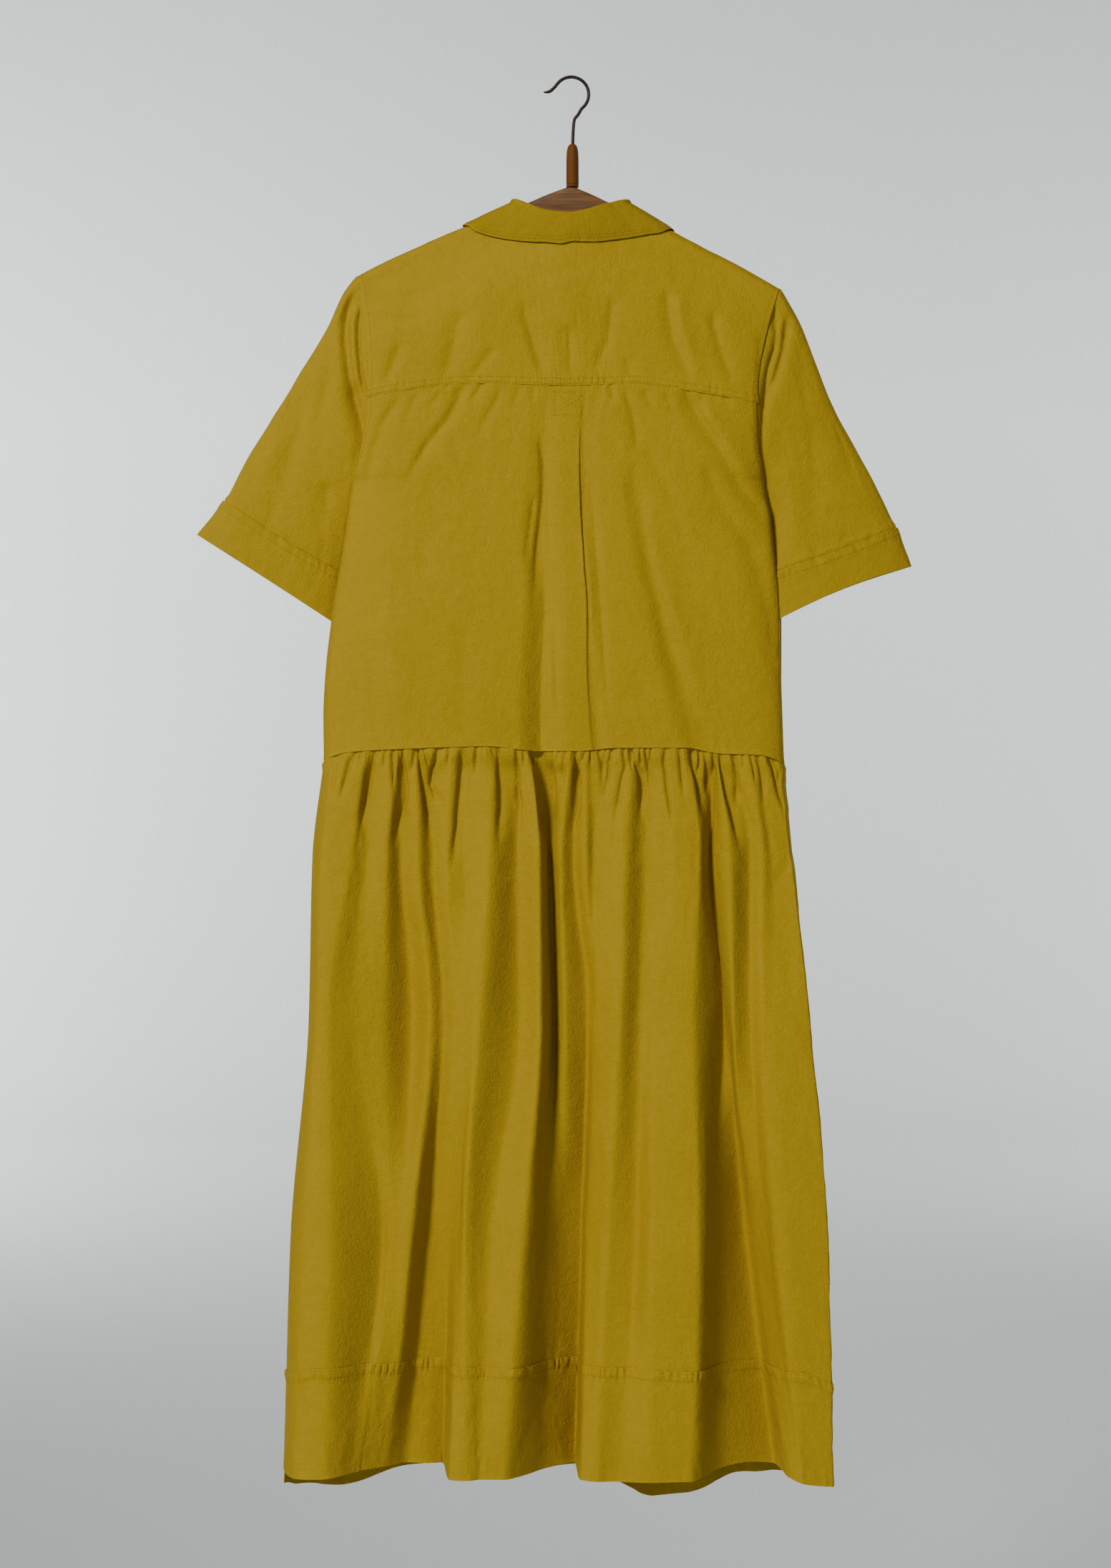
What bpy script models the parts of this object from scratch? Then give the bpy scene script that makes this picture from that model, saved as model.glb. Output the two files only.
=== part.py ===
"""Shirt dress on a wooden hanger.

Metres, +Z up. The origin is the inside top of the hanger's hook, where a nail or a rail bears.
The dress hangs with its back towards -Y and its buttoned front towards +Y.
The tables below are in millimetres; MM turns them into metres when a piece is made.
"""

from collections import namedtuple
from math import cos, pi, sin

import bmesh
import bpy
import numpy as np

MM = 0.001

# ---------------------------------------------------------------- driving sizes, in millimetres

CLOTH = 1.2             # wall of a single layer of cloth
DOUBLE = 1.6            # wall of a cuff, collar stand, placket or hem band
SEAM = 0.5              # room between two pieces where they are sewn together
ARMHOLE = 1.5           # the same round the armholes, whose edges curve
RIDGE_ROUND = 9.0       # radius of the cloth over the hanger's arms
GROWTH = 80.0           # distance below the ridge in which the body reaches its full depth
WAIST = -640.0          # mean height of the waist seam
BAND_TOP = -1214.0      # mean height of the hem band's seam
HEM = -1318.0           # mean height of the hem
FRONT_YOKE = 25.0       # how far below the ridge the front yoke seam lies
NECK_FALL = 22.0        # how far below the ridge the back neckline turns in from the shoulder
NECK_FRONT = -198.0     # height of the neckline at the front
NECK_CORNER = 50.0      # half width of the neckline where the yoke starts to run up to the shoulder
NECK_SHOULDER = 57.0    # half width of the neckline on the shoulder ridge
NECK_BASE = 36.0        # half width, at the back seam, of the columns that rise to the neckline
NECK_OVAL = (56.0, 21.0)  # half width and half depth of the oval that the neck is taken for
CROWN_POWER = 5.0       # how flat the body lies between its sides: more is flatter
CROWN_ROUND = 0.45      # how round its sides turn: less is rounder
TUBE_POWER = 2.6        # the same for the flattened tube of a sleeve
PLACKET_HALF = 15.0     # half width of the buttoned strip
PLACKET_DRIFT = -8.0    # how far the strip hangs sideways by the waist
PLACKET_PROUD = 1.9     # how far the strip stands off the fronts
BUTTON_RADIUS = 5.7
BUTTON_THICK = 2.4
BUTTONS = 7
BUTTON_FIRST = 14.0     # middle of the first button below the front neckline
BUTTON_LAST = 34.0      # middle of the last button above the waist seam

BOARD_THICK = 11.0      # hanger arms, front to back
BOARD_UNDER = 2.0       # room between the yoke's middle surface and the arms' top edge
BOARD_HEIGHT = (29.0, 15.0)  # height of the arms at the middle and at the tips
BOARD_ROUND = 4.0
BOARD_END = 11.0        # how far the arms end inside the shoulder tips
STEM_RADIUS = 5.5
STEM_TOP = -62.5
STEM_FOOT = -103.3
STEM_BORE_ROOM = 0.3    # room round the wire inside the stem
WIRE_RADIUS = 1.5
HOOK_RADIUS = 16.6      # centre line of the hook's bow

# ---------------------------------------------------------------- tables, in millimetres

# The shoulder line, along the top of the hanger's arms.
Ridge = namedtuple("Ridge", "x z")
SHOULDER = [
    Ridge(-203, -188.4), Ridge(-181, -177), Ridge(-136, -156.4), Ridge(-102, -142), Ridge(-57, -123.5),
    Ridge(-10, -104), Ridge(0, -101.2), Ridge(10, -104.6), Ridge(57, -127), Ridge(94, -144.8),
    Ridge(116, -156.4), Ridge(156, -177), Ridge(197, -200),
]

# The bodice's edges at the armholes and side seams, and how deep it is behind and before the hanger.
Section = namedtuple("Section", "z left right back front rim")
BODICE = [
    Section(-650, -235, 202, 28, 24, 0),
    Section(-605, -235.5, 200.5, 28, 24, 0),
    Section(-565, -233.5, 199.5, 28, 24, 0),
    Section(-516, -228, 199.5, 28, 23, 0),
    Section(-455, -218, 192.5, 27, 22, 0),
    Section(-383, -207, 184, 26, 21, 0),
    Section(-379, -206, 183, 26, 21, 5),
    Section(-370, -203.5, 181, 26, 21, 9),
    Section(-350, -198.5, 177.5, 25, 21, 12.5),
    Section(-312, -192.5, 175.5, 24, 20, 15),
    Section(-281, -192, 178, 23, 19, 15),
    Section(-242, -195, 186, 22, 18, 14),
    Section(-208, -199.5, 195, 22, 18, 12),
    Section(-188, -203, 200, 22, 17, 9),
    Section(-140, -203, 200, 20, 15, 9),
    Section(-100, -203, 200, 9, 9, 9),
]

# The neckline: its height behind and before.
Neck = namedtuple("Neck", "x back front")
NECKLINE = [
    Neck(-57, -123.5, -123.5), Neck(-50, -142.6, -149), Neck(-33, -151, -179), Neck(0, -155, -198),
    Neck(33, -152, -181), Neck(50, -145.9, -152), Neck(57, -127, -127),
]

# Horizontal seams: the height of each along the panel.
Seam = namedtuple("Seam", "x z")
YOKE_SEAM = [Seam(-192, -305), Seam(-145, -297.5), Seam(-90, -293), Seam(0, -295), Seam(60, -293),
             Seam(96, -297.5), Seam(177, -311)]
WAIST_SEAM = [Seam(-236, -648), Seam(-210, -640.5), Seam(-133, -636.5), Seam(-79, -635), Seam(-29, -639.5),
              Seam(6, -639.5), Seam(43, -636.5), Seam(109, -636.5), Seam(137, -641.5), Seam(180, -643.5),
              Seam(202, -652)]
WAIST_SEAM_FRONT = [Seam(-236, -648), Seam(-205, -642), Seam(0, -639.5), Seam(175, -644), Seam(202, -652)]
BAND_SEAM_BACK = [Seam(-272, -1226), Seam(-235, -1214), Seam(0, -1213), Seam(210, -1216), Seam(244, -1228)]
BAND_SEAM_FRONT = [Seam(-272, -1227), Seam(-232, -1245), Seam(-130, -1230), Seam(-40, -1232),
                   Seam(75, -1254), Seam(150, -1240), Seam(244, -1229)]
HEM_BACK = [Seam(-272, -1324), Seam(-240, -1315), Seam(-120, -1311), Seam(0, -1312), Seam(150, -1309),
            Seam(220, -1317), Seam(244, -1326)]
HEM_FRONT = [Seam(-272, -1325), Seam(-232, -1346), Seam(-130, -1328), Seam(-40, -1330), Seam(75, -1355),
             Seam(150, -1339), Seam(244, -1327)]

# The back panel's folds: x, and how proud of the panel, at four heights.
PLEAT_HEIGHTS = (-300, -400, -520, WAIST)
Crease = namedtuple("Crease", "name cloth x proud")
BACK_CREASES = [
    Crease("side", 0, (-192, -205, -228, -235), (0, 0, 0, 0)),
    Crease("side flat", 60, (-130, -145, -165, -172), (0, 0.5, 1, 1)),
    Crease("panel", 115, (-78, -86, -100, -108), (0, 1, 2, 2)),
    Crease("slope", 155, (-38, -48, -58, -60), (0, 0.5, 1, 0)),
    Crease("left valley", 178, (-22, -26, -28, -30), (0, -2.5, -7.5, -11)),
    Crease("left fold", 189, (-13, -17, -23, -27), (1.8, 0.5, -5.5, -9)),
    Crease("left edge", 198, (-22, -20.5, -19.5, -19), (3.6, 3.6, 1.5, 0)),
    Crease("strip", 214, (-6, -5, -3, 1), (4.2, 4.6, 4.4, 3.4)),
    Crease("right edge", 230, (10, 11, 16, 22), (3.6, 3.6, 3, 2)),
    Crease("right fold", 240, (1, 6, 14, 21.5), (1.8, 0.3, -3.5, -6)),
    Crease("right valley", 250, (10, 14, 20.5, 26.5), (0, -2.5, -6, -7.5)),
    Crease("rise", 272, (34, 34, 38, 42), (0, 1, 2, 2)),
    Crease("drag crest", 300, (52, 50, 72, 100), (0.3, 1.5, 2.5, 2)),
    Crease("drag valley", 316, (66, 64, 90, 118), (0, 0, -1.5, -1.5)),
    Crease("right flat", 370, (120, 125, 145, 158), (0, 1, 1.5, 1.5)),
    Crease("right side", 420, (176, 186, 199, 202), (0, 0, 0, 0)),
]

# The skirt's folds: x and y at five heights. A crest stands out from the body and a trough goes in.
SKIRT_HEIGHTS = (WAIST, -735, -890, -1093, HEM)
Fold = namedtuple("Fold", "name cloth x y")
BACK_FOLDS = [
    Fold("left seam", 0, (-235, -246, -249, -264, -272), (0, 0, 0, -3, -8)),
    Fold("left turn", 8, (-232, -243, -246.5, -261, -269), (-9, -10, -11, -17, -28)),
    Fold("crest a", 42, (-214, -221, -234, -241, -246), (-27, -33, -34, -46, -66)),
    Fold("trough 1", 66, (-195, -201, -213, -222, -228), (-24, -22, -33, -46, -73)),
    Fold("crest b", 87, (-179, -184, -194, -205, -210), (-28, -34, -34, -43, -74)),
    Fold("trough 2", 112, (-161, -167, -168, -190, -190), (-24, -20, -23, -38, -72)),
    Fold("crest c", 136, (-150, -152, -141, -165, -172), (-27, -32, -38, -58, -62)),
    Fold("trough 3", 168, (-140, -138, -132, -139, -148), (-23, -18, -35, -19, -10)),
    Fold("floor 3", 187, (-134, -129, -123, -124, -123), (-26, -30, -31, -26, -9)),
    Fold("crest d", 226, (-120, -119, -111, -112, -109), (-28, -36, -46, -60, -72)),
    Fold("trough 4", 240, (-105, -107, -100, -100, -97), (-25, -30, -47, -62, -75)),
    Fold("crest e", 256, (-88, -93, -88, -90, -83), (-28, -38, -47, -60, -74)),
    Fold("trough 5", 276, (-66, -67, -64, -78, -70), (-24, -22, -34, -56, -74)),
    Fold("crest f", 308, (-43, -41, -40, -60, -56), (-28, -37, -47, -62, -70)),
    Fold("trough 6", 366, (-27, -23, -17, -25, -12), (-18, -8, -4, -5, -7)),
    Fold("crest g", 388, (-11, -10, -5, -3, -1), (-27, -31, -28, -12, -8)),
    Fold("trough 7", 402, (2, -1, 9, 7, 6), (-24, -24, -22, -15, -11)),
    Fold("crest h", 444, (18, 14, 19, 17, 18), (-28, -36, -46, -60, -75)),
    Fold("trough 9", 484, (64, 60, 56, 51, 49), (-24, -24, -37, -58, -78)),
    Fold("crest i", 514, (95, 95, 80, 77, 78), (-28, -38, -50, -66, -77)),
    Fold("trough 10", 572, (120, 128, 129, 134, 145), (-20, -10, -15, -15, -32)),
    Fold("floor 10", 604, (138, 136, 146, 161, 199), (-25, -24, -13, -20, -22)),
    Fold("crest j", 644, (145, 143, 151, 169, 204), (-28, -35, -42, -48, -62)),
    Fold("trough 11", 658, (155, 157, 160, 181, 212), (-24, -20, -32, -56, -70)),
    Fold("crest k", 684, (177, 177, 185, 197, 223), (-28, -36, -44, -60, -68)),
    Fold("right turn", 720, (199, 208, 223, 238, 241), (-10, -10, -11, -18, -32)),
    Fold("right seam", 732, (202, 211, 226, 241, 244), (0, 0, 0, -4, -10)),
]
FRONT_FOLDS = [
    Fold("left seam", 0, (-235, -246, -249, -264, -272), (0, 0, 0, -3, -8)),
    Fold("left turn", 8, (-232, -243, -246.5, -261, -269), (9, 10, 11, 8, 6)),
    Fold("crest 1", 40, (-210, -216, -224, -238, -246), (24, 30, 34, 38, 38)),
    Fold("trough 1", 76, (-178, -182, -190, -202, -212), (21, 18, 20, 24, 24)),
    Fold("crest 2", 116, (-148, -150, -156, -162, -166), (24, 32, 36, 42, 46)),
    Fold("trough 2", 158, (-116, -114, -112, -112, -112), (21, 16, 18, 22, 24)),
    Fold("crest 3", 200, (-86, -82, -76, -70, -66), (24, 32, 36, 42, 46)),
    Fold("trough 3", 240, (-56, -52, -44, -36, -32), (21, 18, 20, 26, 28)),
    Fold("crest 4", 280, (-22, -16, -8, 2, 8), (24, 32, 36, 42, 44)),
    Fold("trough 4", 322, (14, 20, 28, 38, 44), (21, 16, 18, 22, 24)),
    Fold("crest 5", 366, (48, 54, 64, 76, 84), (24, 32, 36, 44, 50)),
    Fold("trough 5", 408, (84, 90, 100, 112, 122), (21, 18, 20, 26, 28)),
    Fold("crest 6", 448, (118, 124, 134, 146, 158), (24, 31, 34, 40, 44)),
    Fold("trough 6", 488, (150, 158, 168, 182, 190), (21, 18, 20, 22, 22)),
    Fold("crest 7", 522, (178, 186, 200, 214, 218), (23, 28, 30, 34, 34)),
    Fold("right turn", 564, (199, 208, 223, 238, 241), (9, 10, 11, 8, 6)),
    Fold("right seam", 572, (202, 211, 226, 241, 244), (0, 0, 0, -4, -10)),
]

# The sleeves: the outer and the inner edge of each section from the armhole (0) to the cuff (1), half
# its thickness, and how far its middle hangs below the line between its edges.
Sleeve = namedtuple("Sleeve", "along outer_x outer_z inner_x inner_z outer_y inner_y half sag")
SLEEVES = {
    "left": [
        Sleeve(0.0, -203, -188.4, -208, -385.5, 0, 0, 14, 0),
        Sleeve(0.22, -229.5, -235, -213, -401, 2, 8, 13, 0),
        Sleeve(0.51, -267.5, -296, -215.5, -428, 5, 15, 12, 1),
        Sleeve(0.85, -311.5, -367.5, -217, -459, 9, 22, 10.5, 3),
        Sleeve(1.0, -329, -400.5, -218, -473, 10, 25, 10, 3),
        Sleeve(1.2, -354.5, -433, -219, -524, 10, 27, 10, -0.5),
    ],
    "right": [
        Sleeve(0.0, 197, -200, 185, -385.5, 0, 0, 14, 0),
        Sleeve(0.16, 217, -235, 188, -396, 2, 8, 13, 0),
        Sleeve(0.46, 245, -304, 190.5, -423, 5, 15, 12, 1),
        Sleeve(0.76, 281, -370, 190.5, -452, 8, 21, 11, 2),
        Sleeve(1.0, 308, -426, 190.5, -472, 10, 25, 10, 2),
        Sleeve(1.2, 322.5, -463, 190, -519, 10, 27, 10, -5),
    ],
}
SLEEVE_BLEND = (0.3, 0.5)  # shares of its length in which it leaves the body's depth and the armhole's curve
CUFF_START, CUFF_END = 1.0, 1.2
CUFF_GAP = 0.0017       # the seam between sleeve and cuff, on each side, as a share of the sleeve's length
CUFF_PROUD = 0.6        # how far the cuff stands off the sleeve's line

# The collar, from its left front end round the back to its right front end: the fold along its top,
# the neckline under it, and the leaf's edge, told by its run over the shoulder, behind (-) or before (+).
Collar = namedtuple("Collar", "turn roll_x roll_y roll_z neck_x edge_x edge_run")
COLLAR = [
    Collar(0, -9, 24, -173, -1, -52, 114),
    Collar(1, -34, 20.5, -154, -34, -80, 79),
    Collar(2, -50, 14, -131, -53, -99, 33),
    Collar(2.5, -54.5, 10, -120, -56, -102, 14),
    Collar(3, -56, 0, -115.5, -57, -103, 0),
    Collar(3.5, -53, -9.5, -116.5, -55.5, -96, -10),
    Collar(4, -43, -14.5, -121, -48, -82, -22),
    Collar(5, -26, -18.5, -128, -27, -48, -45),
    Collar(6, -2, -20, -131, -2, -4, -64.4),
    Collar(7, 21, -18.5, -126, 22, 40, -43.6),
    Collar(8, 38, -14.5, -120.3, 45, 72, -21.4),
    Collar(8.5, 51, -9.5, -117, 55, 89, -10),
    Collar(9, 55, 0, -116, 57, 97, 0),
    Collar(9.5, 54, 10, -121, 56, 99, 14),
    Collar(10, 50, 14, -133, 53, 98, 31),
    Collar(11, 36, 20.5, -155, 36, 80, 76),
    Collar(12, 10, 24, -173, 1, 53, 110),
]
SHOULDER_TURNS = (3, 9)  # where the collar crosses the shoulder ridge
COLLAR_LIFT = 2.4       # the leaf's edge over the cloth that it lies on
ROLL_HALF = 1.8         # half the width of the fold along the collar's top
ROLL_DROP = 3.0         # height of that fold
STAND_INSET = 1.8       # how far the stand's foot lies inside the neckline
COLLAR_FOLD_ROW = 0.2   # share of the collar's rows that the fold takes
NECK_COLUMN = 6 / 22    # share of the yoke's columns on each side of the neck
NECK_ROW = 6 / 12       # share of its rows below the neckline
RIDGE_RUNS = (-14, -9, -4.5, 0, 4.5, 9, 14, 21)  # rows of the yoke near the shoulder ridge
BACK_ROWS = (0, 0.05, 0.1, 0.145, 0.185, 0.215, 0.25, 0.36, 0.51, 0.67, 0.83, 1)
FRONT_ROWS = (0, 0.1, 0.18, 0.24, 0.29, 0.33, 0.365, 0.395, 0.43, 0.55, 0.7, 0.85, 1)
FRONT_COLUMNS = (0, 0.02, 0.07, 0.2, 0.4, 0.62, 0.812, 0.86, 0.905, 0.955, 1)
COLLAR_TURNS = (0, 0.5, 1, 1.5, 2, 2.4, 2.7, 2.85, 3, 3.15, 3.3, 3.6, 4, 4.5, 5, 5.5)
SKIRT_ROWS = (0, 0.04, 0.11, 0.21, 0.33, 0.47, 0.63, 0.81, 1)
SLEEVE_ROWS = (0, 0.12, 0.26, 0.42, 0.6, 0.8, 1)
COLLAR_ROWS = (0, COLLAR_FOLD_ROW / 2, COLLAR_FOLD_ROW, 0.55, 1)
TUBE_COLUMNS = 24
MIDWAY = 18.0           # folds further apart than this get a grid line between them
TINY = 1e-6

# The hook's wire: its tip, and the run from the bow down into the stem.
Point = namedtuple("Point", "x z")
HOOK_TIP = [Point(-26.5, -13.2), Point(-21.5, -12.6), Point(-16.8, -9.2)]
HOOK_SHANK = [Point(6.3, -34.6), Point(3.2, -38.6), Point(2.2, -45), Point(1.4, -62), Point(1.2, -72)]
HOOK_TURN = (138, -52)  # degrees, where the bow starts and ends

# ---------------------------------------------------------------- materials

MATERIALS = {
    "mustard cotton": ((0.36, 0.24, 0.013), 0.8, 0.0),
    "horn button": ((0.18, 0.11, 0.03), 0.35, 0.0),
    "walnut": ((0.16, 0.07, 0.03), 0.45, 0.0),
    "beech stem": ((0.26, 0.1, 0.035), 0.42, 0.0),
    "black iron": ((0.03, 0.025, 0.022), 0.45, 0.85),
}


def material(name):
    """The named material, made once."""
    if name in bpy.data.materials:
        return bpy.data.materials[name]
    colour, roughness, metallic = MATERIALS[name]
    made = bpy.data.materials.new(name)
    made.use_nodes = True
    shader = made.node_tree.nodes["Principled BSDF"]
    shader.inputs["Base Color"].default_value = (*colour, 1)
    shader.inputs["Roughness"].default_value = roughness
    shader.inputs["Metallic"].default_value = metallic
    return made


# ---------------------------------------------------------------- curves through the tables


def smooth_curve(keys, values, at):
    """Monotone cubic through the values, which may hold a column for each place in at."""
    keys = np.asarray(keys, float)
    at = np.clip(np.asarray(at, float), keys[0], keys[-1])
    values = np.asarray(values, float)
    if values.ndim == 1:
        values = np.repeat(values[:, None], at.size, axis=1)
    rise = np.diff(values, axis=0) / np.diff(keys)[:, None]
    slope = np.zeros_like(values)
    slope[0], slope[-1] = rise[0], rise[-1]
    before, after = rise[:-1], rise[1:]
    same_way = before * after > 0
    total = np.where(same_way, before + after, 1.0)
    slope[1:-1] = np.where(same_way, 2 * before * after / total, 0.0)
    piece = np.clip(np.searchsorted(keys, at, side="right") - 1, 0, len(keys) - 2)
    column = np.arange(at.size)
    width = np.diff(keys)[piece]
    t = (at - keys[piece]) / width
    start, end = values[piece, column], values[piece + 1, column]
    start_slope, end_slope = slope[piece, column] * width, slope[piece + 1, column] * width
    return (start * (2 * t**3 - 3 * t**2 + 1) + start_slope * (t**3 - 2 * t**2 + t)
            + end * (3 * t**2 - 2 * t**3) + end_slope * (t**3 - t**2))


def read(table, key, column, at):
    """One column of a table as a smooth function of its key column."""
    rows = sorted(table, key=lambda row: getattr(row, key))
    return smooth_curve([getattr(row, key) for row in rows], [getattr(row, column) for row in rows], at)


def ease(t):
    """0 to 1 with level ends."""
    t = np.clip(t, 0, 1)
    return t * t * (3 - 2 * t)


def mix(a, b, t):
    return a + (b - a) * t


def seam_height(table, x):
    return read(table, "x", "z", x)


# ---------------------------------------------------------------- the bodice's form


def shoulder(x):
    """Height of the ridge that the yoke makes over the hanger."""
    return read(SHOULDER, "x", "z", x)


def edge(side, z):
    """x of the armhole or side seam; side is left or right."""
    return read(BODICE, "z", side, z)


def over_ridge(run):
    """Height lost below the ridge after following the cloth for this run."""
    angle = np.minimum(np.abs(run) / RIDGE_ROUND, pi / 2)
    return RIDGE_ROUND * (1 - np.cos(angle)) + np.maximum(np.abs(run) - RIDGE_ROUND * pi / 2, 0)


def run_for(fall):
    """The run that loses this much height, for a fall of more than the ridge's rounding."""
    return fall + RIDGE_ROUND * (pi / 2 - 1)


def depth(x, z, face):
    """Distance of the cloth from the hanger's plane; face is back or front."""
    below = np.maximum(shoulder(x) - z, 0)
    left, right = edge("left", z), edge("right", z)
    across = np.clip(2 * (x - left) / (right - left) - 1, -1, 1)
    crown = (1 - np.abs(across) ** CROWN_POWER) ** CROWN_ROUND
    rim = read(BODICE, "z", "rim", z)
    full = rim + (read(BODICE, "z", face, z) - rim) * crown
    round_off = np.sqrt(1 - (1 - np.minimum(below / RIDGE_ROUND, 1)) ** 2)
    return RIDGE_ROUND * round_off + (full - RIDGE_ROUND) * ease(below / GROWTH)


def centre_front(z):
    """x of the middle of the buttoned strip."""
    return PLACKET_DRIFT * ease((NECK_FRONT - z) / (NECK_FRONT - WAIST))


# ---------------------------------------------------------------- where each panel's points lie
# Each function takes u across and v down, both from 0 to 1, and gives x, y and z in millimetres.


def in_folds(rows, heights, column, height, at):
    """One column of a fold table, at a height and at a distance across the cloth."""
    lines = [smooth_curve(heights[::-1], getattr(row, column)[::-1], height) for row in rows]
    return smooth_curve([row.cloth for row in rows], lines, at)


def back_panel(u, v):
    """The back, with its box pleat."""
    height = mix(PLEAT_HEIGHTS[0], PLEAT_HEIGHTS[-1], v)
    at = u * BACK_CREASES[-1].cloth
    x = in_folds(BACK_CREASES, PLEAT_HEIGHTS, "x", height, at)
    proud = in_folds(BACK_CREASES, PLEAT_HEIGHTS, "proud", height, at)
    z = mix(seam_height(YOKE_SEAM, x) - SEAM / 2, seam_height(WAIST_SEAM, x), v)
    ends = [smooth_curve(PLEAT_HEIGHTS[::-1], BACK_CREASES[end].x[::-1], height) for end in (0, -1)]
    x = mix(edge("left", z), edge("right", z), (x - ends[0]) / (ends[1] - ends[0]))
    y = -depth(x, z, "back") - proud
    return x, np.where((u < TINY) | (u > 1 - TINY), np.minimum(y, -SEAM), y), z


def yoke(u, v):
    """The yoke, from the back seam over the shoulders to the front seams.

    Above the row at NECK_ROW, the columns between NECK_COLUMN and 1 - NECK_COLUMN are the neck's opening.
    """
    rising = np.clip(v / NECK_ROW, 0, 1)
    over = np.clip((v - NECK_ROW) / (1 - NECK_ROW), 0, 1)
    run = mix(-run_for(NECK_FALL), run_for(FRONT_YOKE), over)

    def height(x):
        turn_in = np.where(np.abs(x) < NECK_CORNER, read(NECKLINE, "x", "back", x), shoulder(x) - NECK_FALL)
        rise = mix(seam_height(YOKE_SEAM, x) + SEAM, turn_in, rising)
        return np.where(over > 0, shoulder(x) - over_ridge(run), rise)

    neck = mix(NECK_CORNER, NECK_SHOULDER, 1 - np.clip(np.abs(run) / run_for(NECK_FALL), 0, 1) ** 2)
    neck = np.where(over > 0, neck, mix(NECK_BASE, NECK_CORNER, rising))
    left = edge("left", height(np.full(u.shape, SHOULDER[0].x)))
    right = edge("right", height(np.full(u.shape, SHOULDER[-1].x)))
    x = np.where(u < NECK_COLUMN, mix(left, -neck, u / NECK_COLUMN),
                 mix(-neck, neck, (u - NECK_COLUMN) / (1 - 2 * NECK_COLUMN)))
    x = np.where(u > 1 - NECK_COLUMN, mix(right, neck, (1 - u) / NECK_COLUMN), x)
    z = height(x)
    return x, np.where(run > 0, depth(x, z, "front"), -depth(x, z, "back")), z


def outside_neck(u, v):
    return v < NECK_ROW or not NECK_COLUMN < u < 1 - NECK_COLUMN


def front_panel(side):
    """One front, from the side seam to the buttoned strip."""
    sign = -1 if side == "left" else 1
    tip = shoulder(np.array([SHOULDER[0].x if side == "left" else SHOULDER[-1].x]))[0]

    def place(u, v):
        side_z = mix(tip - FRONT_YOKE - SEAM, WAIST, v)
        inner = centre_front(side_z) + sign * (PLACKET_HALF + SEAM)
        x = mix(edge(side, side_z) - sign * SEAM, inner, u)
        top = np.where(np.abs(x) > NECK_CORNER, shoulder(x) - FRONT_YOKE, read(NECKLINE, "x", "front", x))
        z = mix(top - SEAM, seam_height(WAIST_SEAM_FRONT, x), v)
        y = depth(x, z, "front")
        return x, np.where(u < TINY, np.maximum(y, SEAM), y), z

    return place


def placket(u, v):
    """The buttoned strip, standing off the fronts."""
    z = mix(NECK_FRONT - SEAM, seam_height(WAIST_SEAM_FRONT, u * 0), v)
    x = centre_front(z) + mix(-PLACKET_HALF, PLACKET_HALF, u)
    return x, depth(x, z, "front") + PLACKET_PROUD, z


def hanging(folds, face, top_height, foot_height, top_edge, foot_edge):
    """A panel that hangs in a table's folds from one edge to another; face is -1 behind and 1 before."""

    def place(u, v):
        height = mix(top_height, foot_height, v)
        at = u * folds[-1].cloth
        x = in_folds(folds, SKIRT_HEIGHTS, "x", height, at)
        y = in_folds(folds, SKIRT_HEIGHTS, "y", height, at)
        y = np.where((u < TINY) | (u > 1 - TINY), y + face * SEAM, y)
        z = mix(seam_height(top_edge, x) - SEAM, seam_height(foot_edge, x), v)
        return x, y, z

    return place


def tube(side, first, last, grow=0.0):
    """A stretch of a sleeve; u goes round it from its outer edge over the back."""
    rows = SLEEVES[side]
    sign = -1 if side == "left" else 1

    def place(u, v):
        along = mix(first, last, v)
        outer_x, outer_z, inner_x, inner_z, outer_y, inner_y, half, sag = (
            read(rows, "along", column, along) for column in Sleeve._fields[1:])
        inward = (1 - np.cos(2 * pi * u)) / 2
        face = np.where(u < 0.5, -1, 1)
        armhole_z = mix(rows[0].outer_z, rows[0].inner_z, inward)
        armhole_x = edge(side, armhole_z)
        bow = armhole_x - mix(rows[0].outer_x, rows[0].inner_x, inward)
        flat = np.sqrt(np.maximum(1 - np.abs(2 * inward - 1) ** TUBE_POWER, 0))
        half = mix(depth(armhole_x, armhole_z, "back"), (half + grow) * flat, ease(along / SLEEVE_BLEND[0]))
        half = np.where((inward < TINY) | (inward > 1 - TINY), 0, half)
        x = mix(outer_x, inner_x, inward) + bow * (1 - ease(along / SLEEVE_BLEND[1]))
        x = x + sign * (ARMHOLE + grow * np.cos(2 * pi * u))
        y = mix(outer_y, inner_y, inward) + face * half
        z = mix(outer_z, inner_z, inward) - sag * np.sin(pi * inward)
        return x, y, z

    return place


def collar_fold(turn):
    """The fold along the collar's top, and the way out from the neck there."""
    x, y, z = (read(COLLAR, "turn", column, turn) for column in ("roll_x", "roll_y", "roll_z"))
    out_x, out_y = x / NECK_OVAL[0] ** 2, y / NECK_OVAL[1] ** 2
    size = np.hypot(out_x, out_y)
    return x, y, z, out_x / size, out_y / size


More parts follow.
